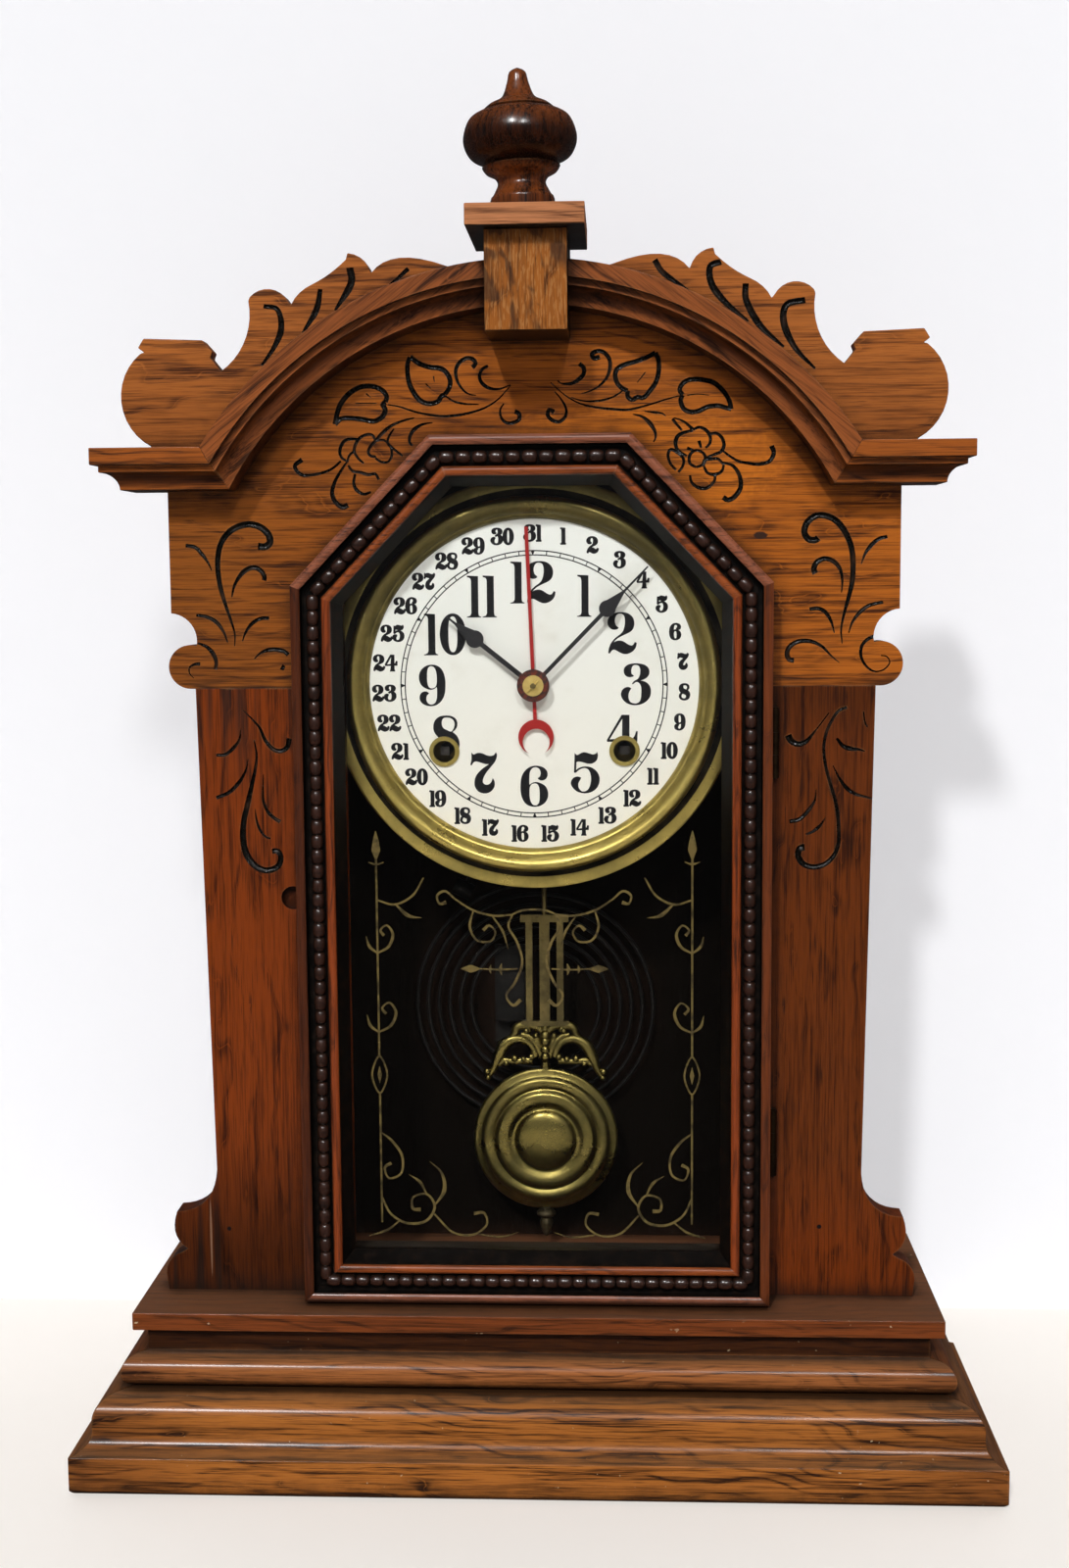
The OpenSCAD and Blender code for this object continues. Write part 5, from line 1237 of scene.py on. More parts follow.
def door_beading():
    """The six runs of beads, each stopping short of the corners."""
    line = inset(DOOR, BEAD_IN)
    runs = []
    for i in range(6):
        a, b = line[i], line[(i + 1) % 6]
        a = Vector((a.x, FACE - BEAD_OUT, a.y)) * MM
        b = Vector((b.x, FACE - BEAD_OUT, b.y)) * MM
        short = (b - a).normalized() * 3.6 * MM
        runs.append((a + short, b - short))
    sizes = {"Pitch": 6.5 * MM, "Across": 2.85 * MM, "Along": 3.4 * MM, "Proud": 2.7 * MM}
    mesh = beads_along("door_beading", runs, sizes, OAK["bead"])
    add_piece("door_beading", mesh, "door", "dark_oak")


door_beading()


def window_glass():
    """Old glass, slightly wavy, that lets plain light and shadow rays straight through."""
    m, w, skin, end = finish_named("window glass")
    skin.inputs["Base Color"].default_value = colour(1, 1, 1)
    skin.inputs["Transmission Weight"].default_value = 1.0
    skin.inputs["IOR"].default_value = 1.3
    skin.inputs["Roughness"].default_value = 0.0
    w.bump(skin, w.noise(w.place(), scale=9.0, detail=1.0), 0.03, 0.001)
    clear = w.add("BsdfTransparent").outputs[0]
    path = w.add("LightPath").outputs
    through = w.larger(path["Is Shadow Ray"], path["Is Diffuse Ray"])
    mixed = w.add("MixShader", {0: through, 1: skin.outputs[0], 2: clear}).outputs[0]
    w.join(mixed, end.inputs["Surface"])
    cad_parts["door_glass"].material_slots[0].material = m


window_glass()
dressed("glass_beads", "door", "dark_oak", BLACKENED, 0.2)


# Gilt lines
# Lines of (x, z) places behind the glass and their half widths, for the right half.
GILT = [
    ([(70, 108), (70, 140), (70, 168)], [0.45]),
    ([(70, 185), (70, 230), (70, 276)], [0.45]),
    ([(70, 274), (70, 277), (70, 281), (70, 287)], [0.3, 2, 1.3, 0.15]),
    ([(66.6, 273), (70, 272), (73.4, 273)], [0.2, 0.55, 0.2]),
    ([(70, 168), (66.6, 176.5), (70, 185), (73.4, 176.5), (70, 168)], [0.4]),
    ([(70, 172.6), (70, 176.5), (70, 180.4)], [0.1, 1, 0.1]),
    ([(70, 196), (64.6, 199), (62.2, 205), (65, 209.5), (68.4, 207),
      (66.6, 204.4)], [0.4, 0.6, 0.7, 0.5, 0.4, 0.7]),
    ([(70, 196), (73.8, 199), (75.2, 204)], [0.4, 0.7, 0.15]),
    ([(70, 232), (65, 235), (63, 240.4), (65.6, 244.6), (68.6, 242.4),
      (67, 240)], [0.4, 0.6, 0.7, 0.5, 0.4, 0.7]),
    ([(70, 232), (73.6, 235), (75, 239.6)], [0.4, 0.7, 0.15]),
    ([(70, 256), (62, 254), (54, 258), (49, 266)], [0.4, 0.5, 0.5, 0.35]),
    ([(62, 254.4), (56, 249), (50, 248)], [0.3, 0.9, 0.1]),
    ([(70, 150), (65, 146), (60.5, 139), (61, 131), (66.5, 128.6), (68.4, 133.4),
      (65.4, 135.6)], [0.3, 0.6, 0.6, 0.5, 0.5, 0.4, 0.8]),
    ([(70, 120), (66, 112), (58.5, 107.6), (50, 108.8), (46, 115.4), (49.4, 121.2), (55.6, 119.8),
      (56, 114.6), (52.4, 114)], [0.4, 0.5, 0.55, 0.6, 0.6, 0.55, 0.5, 0.45, 0.9]),
    ([(62, 108.8), (68, 104.2), (76, 101.6)], [0.3, 0.6, 0.2]),
    ([(46.2, 112), (38, 103.6), (29, 102.4), (22.6, 107), (23.6, 112.6),
      (28.2, 112.4)], [0.4, 0.5, 0.5, 0.5, 0.45, 0.8]),
    ([(26, 102.6), (16, 101.6), (8, 103.8)], [0.3, 0.45, 0.1]),
    ([(46, 116), (41.6, 123), (42.6, 131), (48, 136.6)], [0.3, 0.9, 0.6, 0.1]),
    ([(49.6, 121.4), (52.6, 127), (57.6, 130.4)], [0.3, 0.7, 0.1]),
    ([(35, 256.4), (27, 251.4), (18, 249), (9.6, 249.4)], [0.4, 0.5, 0.5, 0.4]),
    ([(35, 256.4), (39.4, 260), (43, 258), (42, 254.4), (39, 255)], [0.4, 0.5, 0.6, 0.4, 0.9]),
    ([(27, 251.2), (28.6, 244), (25.6, 238), (19.6, 237.4), (17.2, 241.6), (20, 244.6),
      (22.6, 242.4)], [0.3, 0.55, 0.55, 0.5, 0.45, 0.4, 0.8]),
    ([(18.4, 248.6), (14, 242), (11.6, 234)], [0.3, 0.6, 0.1]),
    ([(9.6, 249.4), (11.4, 244), (7.6, 237), (5.4, 228), (8.6, 219), (12.6, 213), (9.6, 208.4),
      (6.2, 211)], [0.4, 0.5, 0.6, 0.5, 0.6, 0.55, 0.5, 0.9]),
    ([(9.6, 249.6), (5, 251.4), (0, 251.8)], [0.4, 0.45, 0.45]),
    ([(7.6, 225), (16, 224.6), (24, 225)], [0.35, 0.4, 0.3]),
    ([(24, 225), (28, 225), (33, 225)], [0.2, 1.9, 0.1]),
    ([(14.6, 227.4), (15.2, 224.8), (14.6, 222.2)], [0.1, 0.9, 0.1]),
    ([(19.4, 226.8), (19.8, 224.8), (19.4, 222.8)], [0.1, 0.7, 0.1]),
]


def gilding():
    """Gold size lines on the inner side of the glass, rubbed thin in places."""
    m, w, skin, _ = finish_named("dull gilding")
    worn = w.noise(w.place(), scale=140.0, detail=4.0, rough=0.65)
    thin = w.step(worn, 0.4, 0.66)
    shade = w.blend(thin, colour(0.16, 0.115, 0.035), colour(0.045, 0.032, 0.012))
    w.join(shade, skin.inputs["Base Color"])
    w.join(w.step(worn, 0.3, 0.7, 0.35, 0.6), skin.inputs["Roughness"])
    skin.inputs["Metallic"].default_value = 0.35
    set_gloss(skin, 0.2)
    _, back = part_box("door_glass")
    y = back.y / MM + 0.07
    thickness = 0.1
    bm = bmesh.new()
    for side in (1, -1):
        for points, widths in GILT:
            line = [(side * x, y, z) for x, z in points]
            wire(bm, line, widths, 4, thickness / max(widths), 0.9)
    mesh = settled(closed_mesh(bm, "gilt_lines", m), 50, weigh=False)
    add_piece("gilt_lines", mesh, "door", "brass")


gilding()


# Dial
# Numerals as closed outlines of smooth runs, in hundredths of their height. A second
# outline in a list is a hole.
NUMERALS = {
    "0": [
        [
            [(31.5, 100), (46, 95), (58, 78), (63, 50), (58, 22), (46, 5), (31.5, 0), (17, 5),
             (5, 22), (0, 50), (5, 78), (17, 95), (31.5, 100)],
        ],
        [
            [(31.5, 94), (38, 90), (42, 76), (43, 50), (42, 24), (38, 10), (31.5, 6), (25, 10),
             (21, 24), (20, 50), (21, 76), (25, 90), (31.5, 94)],
        ],
    ],
    "1": [
        [
            [(0, 100), (26, 99)], [(26, 99), (26, 10)],
            [(26, 10), (27.5, 3.5), (33, 1)],
            [(33, 1), (33, 0)], [(33, 0), (-1, 0)], [(-1, 0), (-1, 1)],
            [(-1, 1), (7, 3.5), (10, 10)],
            [(10, 10), (10, 86)],
            [(10, 86), (8, 94), (0, 97.5)],
            [(0, 97.5), (0, 100)],
        ],
    ],
    "4": [
        [
            [(36, 100), (54, 100)], [(54, 100), (54, 41)],
            [(54, 41), (61, 42), (67, 48), (71, 60)],
            [(71, 60), (74, 60)], [(74, 60), (73, 35)], [(73, 35), (54, 35)], [(54, 35), (54, 9)],
            [(54, 9), (56, 3), (63, 0)],
            [(63, 0), (28, 0)],
            [(28, 0), (35, 3), (37, 9)],
            [(37, 9), (37, 35)], [(37, 35), (0, 35)], [(0, 35), (0, 39)], [(0, 39), (36, 100)],
        ],
        [
            [(37, 91), (37, 41)], [(37, 41), (6, 41)], [(6, 41), (37, 91)],
        ],
    ],
    "8": [
        [
            [(31, 100), (44, 98.5), (54, 92), (58, 81), (55, 69), (46, 60)],
            [(46, 60), (56, 51), (62, 38), (62, 24), (55, 9), (43, 1.5), (31, 0), (18, 1.5), (6, 9),
             (0, 21), (3, 34), (14, 45)],
            [(14, 45), (5, 55), (0, 67), (1, 81), (7, 92), (18, 98.5), (31, 100)],
        ],
        [
            [(31, 96), (42, 94.5), (50, 88), (52, 78), (49, 67), (43, 60.5), (33, 64), (24, 69),
             (20, 77), (20, 87), (24, 94), (31, 96)],
        ],
        [
            [(30, 4), (20, 5.5), (11, 12), (8, 22), (11, 34), (19, 43), (29, 39), (41, 33),
             (45, 24), (43, 13), (38, 6.5), (30, 4)],
        ],
    ],
    "2": [
        [
            [(25.4, 61.5), (18.9, 59), (10.7, 60.2), (3.3, 66.4), (0.3, 75.4), (2.5, 86.1),
             (10.7, 95.1), (23, 99.7), (37.7, 100.3), (50.8, 96.7), (60.7, 87.7), (64.3, 75.4),
             (62, 62.3), (54.1, 53.3), (39.3, 46.2), (24.6, 38.5), (15.1, 29.8), (8.5, 21)],
            [(8.5, 21), (15.1, 27.9), (23, 31.1), (32, 31.8), (41, 28.2), (49.2, 22.6),
             (57.4, 19.7), (62.8, 22.1), (65.9, 28.2)],
            [(65.9, 28.2), (70, 26.6)],
            [(70, 26.6), (68, 16.4), (61.5, 7.4), (52.5, 2), (42.6, 0), (32, 3), (22.1, 8.5),
             (15.1, 11.1), (9.5, 8.5), (4.9, 1.3)],
            [(4.9, 1.3), (2, 2.5)],
            [(2, 2.5), (3.3, 11.5), (6.1, 21), (12.3, 31.1), (21.3, 40.2), (32, 47.9), (37.7, 54.9),
             (41.3, 65.6), (42.6, 77), (41.8, 87.7), (38.5, 94.8), (31.1, 97.9), (23.3, 95.7),
             (18.4, 88.2), (17.4, 77.9), (20, 69.2), (26.2, 63.6)],
            [(26.2, 63.6), (25.4, 61.5)],
        ],
    ],
    "3": [
        [
            [(30.3, 70.2), (24.3, 68.3), (16.5, 68.7), (9.9, 73.7), (7.1, 82), (8.9, 90.6),
             (16.5, 97.2), (29, 100.3), (43.1, 100.3), (57.2, 96.9), (65.8, 89.8), (68.5, 80.4),
             (65.8, 71), (58.8, 64.3), (49.4, 60.5), (43.9, 59.2)],
            [(43.9, 59.2), (54.1, 57.7), (64.3, 52.2), (70.5, 42.8), (71.8, 31), (69.7, 20.1),
             (61.9, 9.9), (49.4, 2.5), (33.7, 0), (19.6, 2.5), (8.6, 9.4), (1.6, 19.3), (0.3, 27.9),
             (3.9, 37.3), (11, 42.3), (18.8, 43.3), (24.6, 40.1)],
            [(24.6, 40.1), (21.2, 35.7), (18, 27.9), (17.7, 16.9), (21.9, 7.5), (30.6, 3.6),
             (38.4, 3.6), (45.5, 8.3), (48.6, 16.9), (49.7, 29.5), (49.4, 42), (46.6, 50.6),
             (41.5, 55.8), (35.3, 55.8), (28.2, 50.6)],
            [(28.2, 50.6), (27.1, 52.2)],
            [(27.1, 52.2), (32.9, 58.5), (40, 62.4), (44.7, 68.7), (47, 78.1), (46.7, 88.2),
             (43.1, 95.6), (36.1, 97.6), (29, 96.1), (25.1, 89), (24.3, 81.2), (25.9, 74.9),
             (30.3, 72.1)],
            [(30.3, 72.1), (30.3, 70.2)],
        ],
    ],
    "9": [
        [
            [(22.9, 31.4), (18.1, 34.6), (11.9, 34.9), (5.1, 31.4), (1.2, 23.4), (2.1, 13.7),
             (8.3, 5.7), (19, 0.9), (31.4, 0), (43.8, 3.9), (54.4, 13.7), (61.2, 27.8),
             (63.5, 45.6), (63.3, 63.3), (59.8, 79.3), (52.7, 91.7), (42, 98.4), (30.5, 100),
             (19, 97.9), (8.3, 90.8), (2.1, 81), (0, 69.5), (2.1, 58), (8.3, 48.2), (19, 42),
             (27.8, 39.9), (36.7, 42), (42.4, 47)],
            [(42.4, 47), (43.8, 43.8), (43.8, 27.8), (42.9, 17.2), (39.4, 8.3), (33.2, 3.4),
             (26.1, 3), (19.9, 6.9), (16.8, 13.7), (16.8, 21.6), (19, 27), (22.9, 30)],
            [(22.9, 30), (22.9, 31.4)],
        ],
        [
            [(19, 72.2), (19.5, 84.6), (22.2, 93.1), (27, 97), (31.4, 97.3), (36.7, 94.9),
             (41.1, 87.2), (43.4, 75.7), (43.8, 63.3), (42.9, 52.7), (39.4, 45.6), (34, 42.6),
             (27.8, 42.6), (22.9, 46.1), (19.9, 54.4), (19, 63.3), (19, 72.2)],
        ],
    ],
    "5": [
        [
            [(9.6, 97.9), (14.8, 92.5), (22.3, 96.1), (31.3, 99.7), (43.4, 97), (53.9, 94),
             (61.4, 96.4)],
            [(61.4, 96.4), (63.6, 100.3)],
            [(63.6, 100.3), (65.4, 91.9), (62.3, 80.4), (52.4, 73.2), (40.4, 72.6), (28.3, 76.2),
             (17.8, 77.7), (13, 75.9)],
            [(13, 75.9), (12, 56.3)],
            [(12, 56.3), (22.3, 62.3), (35.8, 64.8), (50.9, 61.7), (63.6, 51.2), (69.3, 36.1),
             (66.6, 19.6), (57.5, 7.5), (43.4, 0.9), (28.3, 0), (13.3, 5.1), (2.7, 16), (0, 26.2),
             (5.1, 36.1), (15.4, 40.1), (24.4, 37.7)],
            [(24.4, 37.7), (21.4, 31.6), (17.2, 23.2), (18.4, 12), (25.3, 4.2), (34.3, 3.6),
             (43.4, 10.5), (48.5, 25.6), (48.8, 42.2), (44.3, 55.7), (35.2, 61.7), (23.2, 59.3),
             (10.2, 49.7)],
            [(10.2, 49.7), (7.8, 50.9)], [(7.8, 50.9), (9.6, 97.9)],
        ],
    ],
    "7": [
        [
            [(3, 100.3), (7.9, 94.8), (17.1, 98.5), (28.4, 97.9), (40.5, 92.7), (51.8, 91.2),
             (58.8, 94.2)],
            [(58.8, 94.2), (62.8, 100.3)],
            [(62.8, 100.3), (64.9, 92.7), (60.4, 79), (49.7, 65.2), (37.5, 50), (30.5, 36.3),
             (29.9, 25.6), (37.5, 20.4), (46, 22), (51.8, 28.7), (54.3, 36.9)],
            [(54.3, 36.9), (58.2, 28.7), (57.9, 16.5), (49.7, 5.2), (36, 0), (20.7, 3.7),
             (11.6, 14.9), (10.1, 29.6), (15.2, 44.8), (28.4, 59.1), (43.6, 69.8), (55.8, 80.5),
             (61.6, 88.1)],
            [(61.6, 88.1), (52.7, 75.3), (40.5, 72), (26.8, 75.3), (14.6, 79), (7, 75.9),
             (2.4, 68.6)],
            [(2.4, 68.6), (0, 70.4)],
            [(0, 70.4), (3, 82), (3, 100.3)],
        ],
    ],
}
NUMERALS["6"] = [
    [[(66 - x * 1.05, 100 - z) for x, z in run] for run in outline]
    for outline in NUMERALS["9"]
]
WIDTHS = {
    "0": 63, "1": 33, "2": 70, "3": 72, "4": 74, "5": 69, "6": 66, "7": 65, "8": 62, "9": 63
}
DIAL_Z = 350.5  # the height of the hands' arbor
WINDING_X = 40.3  # the winding holes, to either side of the arbor
WINDING_Z = DIAL_Z - 29.6
PAPER = -5.8  # front of the dial paper
INK_FRONT, INK_BACK = PAPER - 0.06, PAPER + 0.02
HOUR_RING, DATE_RING = 45.4, 67.0  # radii of the numbers' middles
MINUTE_LINES = 57.45, 59.35  # radii of the two lines of the minute track


def ring_of(outline):
    """The places round an outline, each run smooth and the joins crisp."""
    places = []
    for run in outline:
        if len(run) == 2:
            places.append(Vector((*run[0], 0)))
        else:
            places += [p for p, _ in smooth_line([(x, z, 0) for x, z in run], 3.5)][:-1]
    return places


def wound(ring, x, z):
    """How many times a ring runs round a place, anticlockwise."""
    count = 0
    for (ax, az), (bx, bz) in zip(ring, ring[1:] + ring[:1]):
        if (az <= z) != (bz <= z):
            if (ax + (z - az) * (bx - ax) / (bz - az)) > x:
                count += 1 if bz > az else -1
    return count


def print_flat(bm, rings, front=INK_FRONT):
    """A printed shape as a skin-thin slab; rings after the first are holes."""
    places, edges = [], []
    for ring in rings:
        start, n = len(places), len(ring)
        places += [Vector(p) for p in ring]
        edges += [(start + i, start + (i + 1) % n) for i in range(n)]
    spots, _, cells, *_ = geometry.delaunay_2d_cdt(places, edges, [], 0, 1e-5)
    kept = []
    for cell in cells:
        mid = sum((spots[i] for i in cell), Vector((0, 0))) / len(cell)
        count = [wound(ring, mid.x, mid.y) for ring in rings]
        if count[0] > 0 and not any(c > 0 for c in count[1:]):
            kept.append(cell)
    used = sorted({i for cell in kept for i in cell})
    skin = [
        {i: bm.verts.new((spots[i].x * MM, y * MM, spots[i].y * MM)) for i in used}
        for y in (front, INK_BACK)
    ]
    rims = set()
    for cell in kept:
        bm.faces.new([skin[0][i] for i in cell])
        bm.faces.new([skin[1][i] for i in reversed(cell)])
        for a, b in zip(cell, cell[1:] + cell[:1]):
            rims ^= {(min(a, b), max(a, b))}
    for a, b in rims:
        bm.faces.new((skin[0][a], skin[0][b], skin[1][b], skin[1][a]))


def bolder(ring, grow):
    """The outline moved out by grow on both sides of every stroke."""
    places = [Vector(p) for p in ring]
    n = len(places)
    moved = []
    for i, p in enumerate(places):
        way = (places[(i + 1) % n] - places[i - 1]).normalized()
        moved.append(tuple(p + Vector((way.y, -way.x)) * grow))
    return moved


def turning(ring):
    """Twice the area that a ring runs round, above 0 if anticlockwise."""
    return sum(a[0] * b[1] - b[0] * a[1] for a, b in zip(ring, ring[1:] + ring[:1]))


def write_number(bm, number, x, z, size, grow):
    """A number standing upright round its middle; grow thickens its strokes."""
    figures = str(number)
    gap = 5
    wide = sum(WIDTHS[c] for c in figures) + gap * (len(figures) - 1)
    k = size / 100
    pen = x - wide * k / 2
    for c in figures:
        rings = [
            [(pen + p.x * k, z - size / 2 + p.y * k) for p in ring_of(o)]
            for o in NUMERALS[c]
        ]
        for i, ring in enumerate(rings):
            if turning(ring) < 0:
                ring = ring[::-1]
            rings[i] = bolder(ring, grow if i == 0 else -grow)
        print_flat(bm, rings)
        pen += (WIDTHS[c] + gap) * k


def clock_place(radius, degrees):
    """A place on the dial, turned clockwise from the top."""
    turn = math.radians(degrees)
    return radius * math.sin(turn), DIAL_Z + radius * math.cos(turn)


def print_ring(bm, radius):
    """A fine line round the arbor."""
    wide, sides = 0.5, 180
    outer, inner = (
        [clock_place(radius + edge, 360 * i / sides) for i in range(sides)]
        for edge in (wide / 2, -wide / 2)
    )
    loops = [
        [bm.verts.new((x * MM, y * MM, z * MM)) for x, z in ring]
        for ring, y in (
            (outer, INK_FRONT), (inner, INK_FRONT), (inner, INK_BACK), (outer, INK_BACK)
        )
    ]
    for u, v in zip(loops, loops[1:] + loops[:1]):
        for i in range(sides):
            j = (i + 1) % sides
            bm.faces.new((u[i], u[j], v[j], v[i]))


def print_tick(bm, minute):
    """A plain stroke between the two lines, or a wedge at every fifth minute."""
    if minute % 5:
        low, high, foot, head = 57.65, 59.15, 0.2, 0.2
    else:
        low, high, foot, head = 57.4, 59.4, 0.12, 0.95
    inner, outer = Vector(clock_place(low, 6 * minute)), Vector(clock_place(high, 6 * minute))
    way = (outer - inner).normalized()
    side = Vector((-way.y, way.x))
    tick = [inner + side * foot, inner - side * foot, outer - side * head, outer + side * head]
    print_flat(bm, [[tuple(p) for p in tick]], front=PAPER - 0.05)


def drill(x, z, radius, sides, near, far):
    """A round cutter that runs from front to back, from near to far."""
    bm = bmesh.new()
    turned(bm, [(0, near), (radius, near), (radius, far), (0, far)], sides, (x, 0, z), "Y")
    return placed("drill", closed_mesh(bm, "drill"))


def dial_printing():
    """Hours, dates and minute track, with the winding holes punched out."""
    ink, w, skin, _ = finish_named("printing ink")
    worn = w.step(w.noise(w.place(), scale=900.0, detail=4.0, rough=0.7), 0.55, 0.8)
    shade = w.blend(worn, colour(0.008, 0.008, 0.009), colour(0.03, 0.028, 0.025))
    w.join(shade, skin.inputs["Base Color"])
    skin.inputs["Roughness"].default_value = 0.6
    set_gloss(skin, 0.12)
    bm = bmesh.new()
    for hour in range(1, 13):
        write_number(bm, hour, *clock_place(HOUR_RING, 30 * hour), 18.3, 0.1)
    for day in range(1, 32):
        write_number(bm, day, *clock_place(DATE_RING, 360 * day / 31), 7.0, 0.34)
    for radius in reversed(MINUTE_LINES):
        print_ring(bm, radius)
    for minute in range(60):
        print_tick(bm, minute)
    paper = closed_mesh(bm, "dial_printing", ink)
    punches = [
        drill(x, WINDING_Z, 6.2, 48, PAPER - 2, PAPER + 2) for x in (-WINDING_X, WINDING_X)
    ]
    mesh = settled(paper, 20, weigh=False, cutters=punches)
    add_piece("dial_printing", mesh, "case", "dial_paper")


def dial_paper():
    """Off-white paper, yellower towards the bottom, with faint stains."""
    m, w, skin, _ = finish_named("dial paper")
    place = w.place()
    low = along_part(w, 2, 425, 275)
    fibres = w.noise(place, scale=700.0, detail=4.0, rough=0.6)
    stain = w.noise(place, scale=32.0, detail=4.0, rough=0.6)
    shade = w.blend(low, colour(0.96, 0.985, 0.92), colour(0.92, 0.90, 0.79))
    shade = w.smear(shade, w.times(w.step(stain, 0.5, 0.8), 0.35), 0.64, 0.60, 0.47)
    shade = w.smear(shade, w.times(w.step(fibres, 0.55, 0.8), 0.12), 0.6, 0.57, 0.48)
    w.join(shade, skin.inputs["Base Color"])
    w.bump(skin, fibres, 0.08, 0.0001)
    w.join(w.step(stain, 0.2, 0.8, 0.45, 0.62), skin.inputs["Roughness"])
    set_gloss(skin, 0.2)
    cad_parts["dial_face"].material_slots[0].material = m


dial_paper()
dial_printing()


def painted(name, shade, worn, rough):
    """Enamel on a thin steel hand, rubbed through, its boss gone brown."""
    m, w, skin, _ = finish_named(name)
    fleck = w.noise(w.place(), scale=600.0, detail=3.0, rough=0.6)
    tone = w.blend(w.step(fleck, 0.6, 0.8), colour(*shade), colour(*worn))
    rust = w.step(fleck, 0.4, 0.6)
    boss = w.blend(rust, colour(0.13, 0.02, 0.008), colour(0.03, 0.012, 0.008))
    tone = w.blend(spot_mask(w, 0, DIAL_Z, 7.6, 7.6, 0.02), tone, boss)
    w.join(tone, skin.inputs["Base Color"])
    w.join(w.step(fleck, 0.3, 0.8, rough, rough + 0.25), skin.inputs["Roughness"])
    set_gloss(skin, 0.3)
    return m


BLACK_ENAMEL = painted("black enamel", (0.010, 0.010, 0.011), (0.05, 0.045, 0.04), 0.35)
RED_ENAMEL = painted("red enamel", (0.36, 0.012, 0.01), (0.22, 0.01, 0.008), 0.4)
dressed("hour_hand", "hour_body", "black_hands", BLACK_ENAMEL, 0.1)
dressed("minute_hand", "minute_body", "black_hands", BLACK_ENAMEL, 0.1)
dressed("calendar_hand", "date_body", "red_hand", RED_ENAMEL, 0.1)


def spun_pan():
    """The spun brass pan with its fine line, rolled bezel, groove and rim."""
    front = [
        (0, 9.6), (73.4, 9.6), (73.4, 8.9), (73.7, 8.0), (74.3, 6.8), (75.0, 6.1), (75.6, 5.9),
        (75.8, 5.3), (76.6, 4.2), (77.6, 3.0), (78.8, 2.1), (80.1, 1.55), (81.4, 1.9), (82.5, 2.7),
        (83.2, 3.9), (83.4, 5.4), (83.0, 7.4), (82.4, 9.8), (82.3, 12.3),
    ]
    groove = [(82.3, 12.3), (86.2, 12.35), (86.8, 12.1)]
    rim = [(86.8, 12.1), (87.6, 12.0), (91.0, 12.0), (91.8, 12.1), (92.0, 12.3), (91.8, 12.6)]
    back = [(91.8, 12.6), (81.0, 12.6), (80.6, 11.8), (80.4, 10.0), (0, 10.0)]
    bm = bmesh.new()
    for run, kind in ((front, 0), (groove, 1), (rim, 0), (back, 0)):
        places = [(r, FACE + y) for r, y in run]
        turned(bm, places, 160, (0, 0, DIAL_Z), "Y", kind)
    bmesh.ops.remove_doubles(bm, verts=bm.verts, dist=1e-6)
    screws = [polar(87.9, turn) for turn in (8, 172, 188, 352)]
    holes = [(-WINDING_X, WINDING_Z, 5.4), (WINDING_X, WINDING_Z, 5.4), (0, DIAL_Z, 5.6)]
    holes += [(x, DIAL_Z + z, 1.1) for x, z in screws]
    before, behind = -14, 8
    cutters = [drill(x, z, radius, 40, before, behind) for x, z, radius in holes]
    mesh = closed_mesh(bm, "dial_pan", BEZEL, BEZEL_GROOVE)
    mesh = settled(mesh, 40, weigh=False, cutters=cutters)
    add_piece("dial_pan_spun", mesh, "case", "brass", "dial_pan")


spun_pan()
dressed("winding_grommets", "case", "brass", BEZEL, 0, flat=False)
dressed("hand_washer", "minute_body", "brass", BRASS, 0, flat=False)
dressed("taper_pin", "minute_body", "brass", BRASS, 0, flat=False)


# Pendulum
PENDULUM_Y = 42.2
BOB_X, BOB_Z = 2.0, 128.4


def ball(bm, x, z, radius):
    """A cast bead, a little in front of the pendulum's middle plane."""
    place = Vector((BOB_X + x, PENDULUM_Y - 0.6, BOB_Z + z)) * MM
    made = bmesh.ops.create_uvsphere(
        bm, u_segments=12, v_segments=8, radius=radius * MM, matrix=Matrix.Translation(place)
    )
    for face in {f for v in made["verts"] for f in v.link_faces}:
        face.smooth = True


# Left half of the crown: lines of (x, z) places from the bob's middle, with radii, and
# beads as (x, z, radius)
CROWN = [
    ([(-27.2, 30.6), (-24.6, 35.2), (-22.6, 40.5), (-19.6, 46.2), (-14.2, 49), (-8.6, 47.6),
      (-5.4, 43.8), (-5, 40.4)], [0.9, 1.5, 2.2, 2.3, 1.9, 1.5, 1.3, 1.5]),
    ([(-22.4, 36.6), (-19.6, 38.4), (-15.5, 38), (-10.8, 38.2),
      (-6.4, 38.6)], [1.2, 1.4, 1.2, 1.3, 1.5]),
    ([(-16.8, 49.4), (-14.6, 51.6), (-14, 54.2), (-11.4, 55.6), (-8.4, 54.6),
      (-8, 52.6)], [1, 1.4, 1.6, 1.7, 1.4, 1.2]),
    ([(-11.6, 51.2), (-8, 50.2), (-4.2, 46.4), (-1.6, 40)], [0.9, 1.3, 1.6, 1.4]),
    ([(-9.6, 55.8), (-5.6, 55.4), (-2.4, 53.6), (-0.4, 50.8)], [0.8, 1.4, 1.3, 1]),
    ([(-4.4, 50.2), (-3.2, 46), (-0.6, 41)], [1.5, 1.3, 0.9]),
]
CROWN_BEADS = [
    (-28.0, 33.2, 1.9), (-27.6, 30.2, 1.5), (-18.8, 37.2, 1.5), (-14.8, 39.6, 1.9),
    (-10.4, 39.2, 1.6), (-6.6, 40.4, 1.8), (-9.0, 53.2, 1.6), (-4.4, 50.8, 1.5),
]


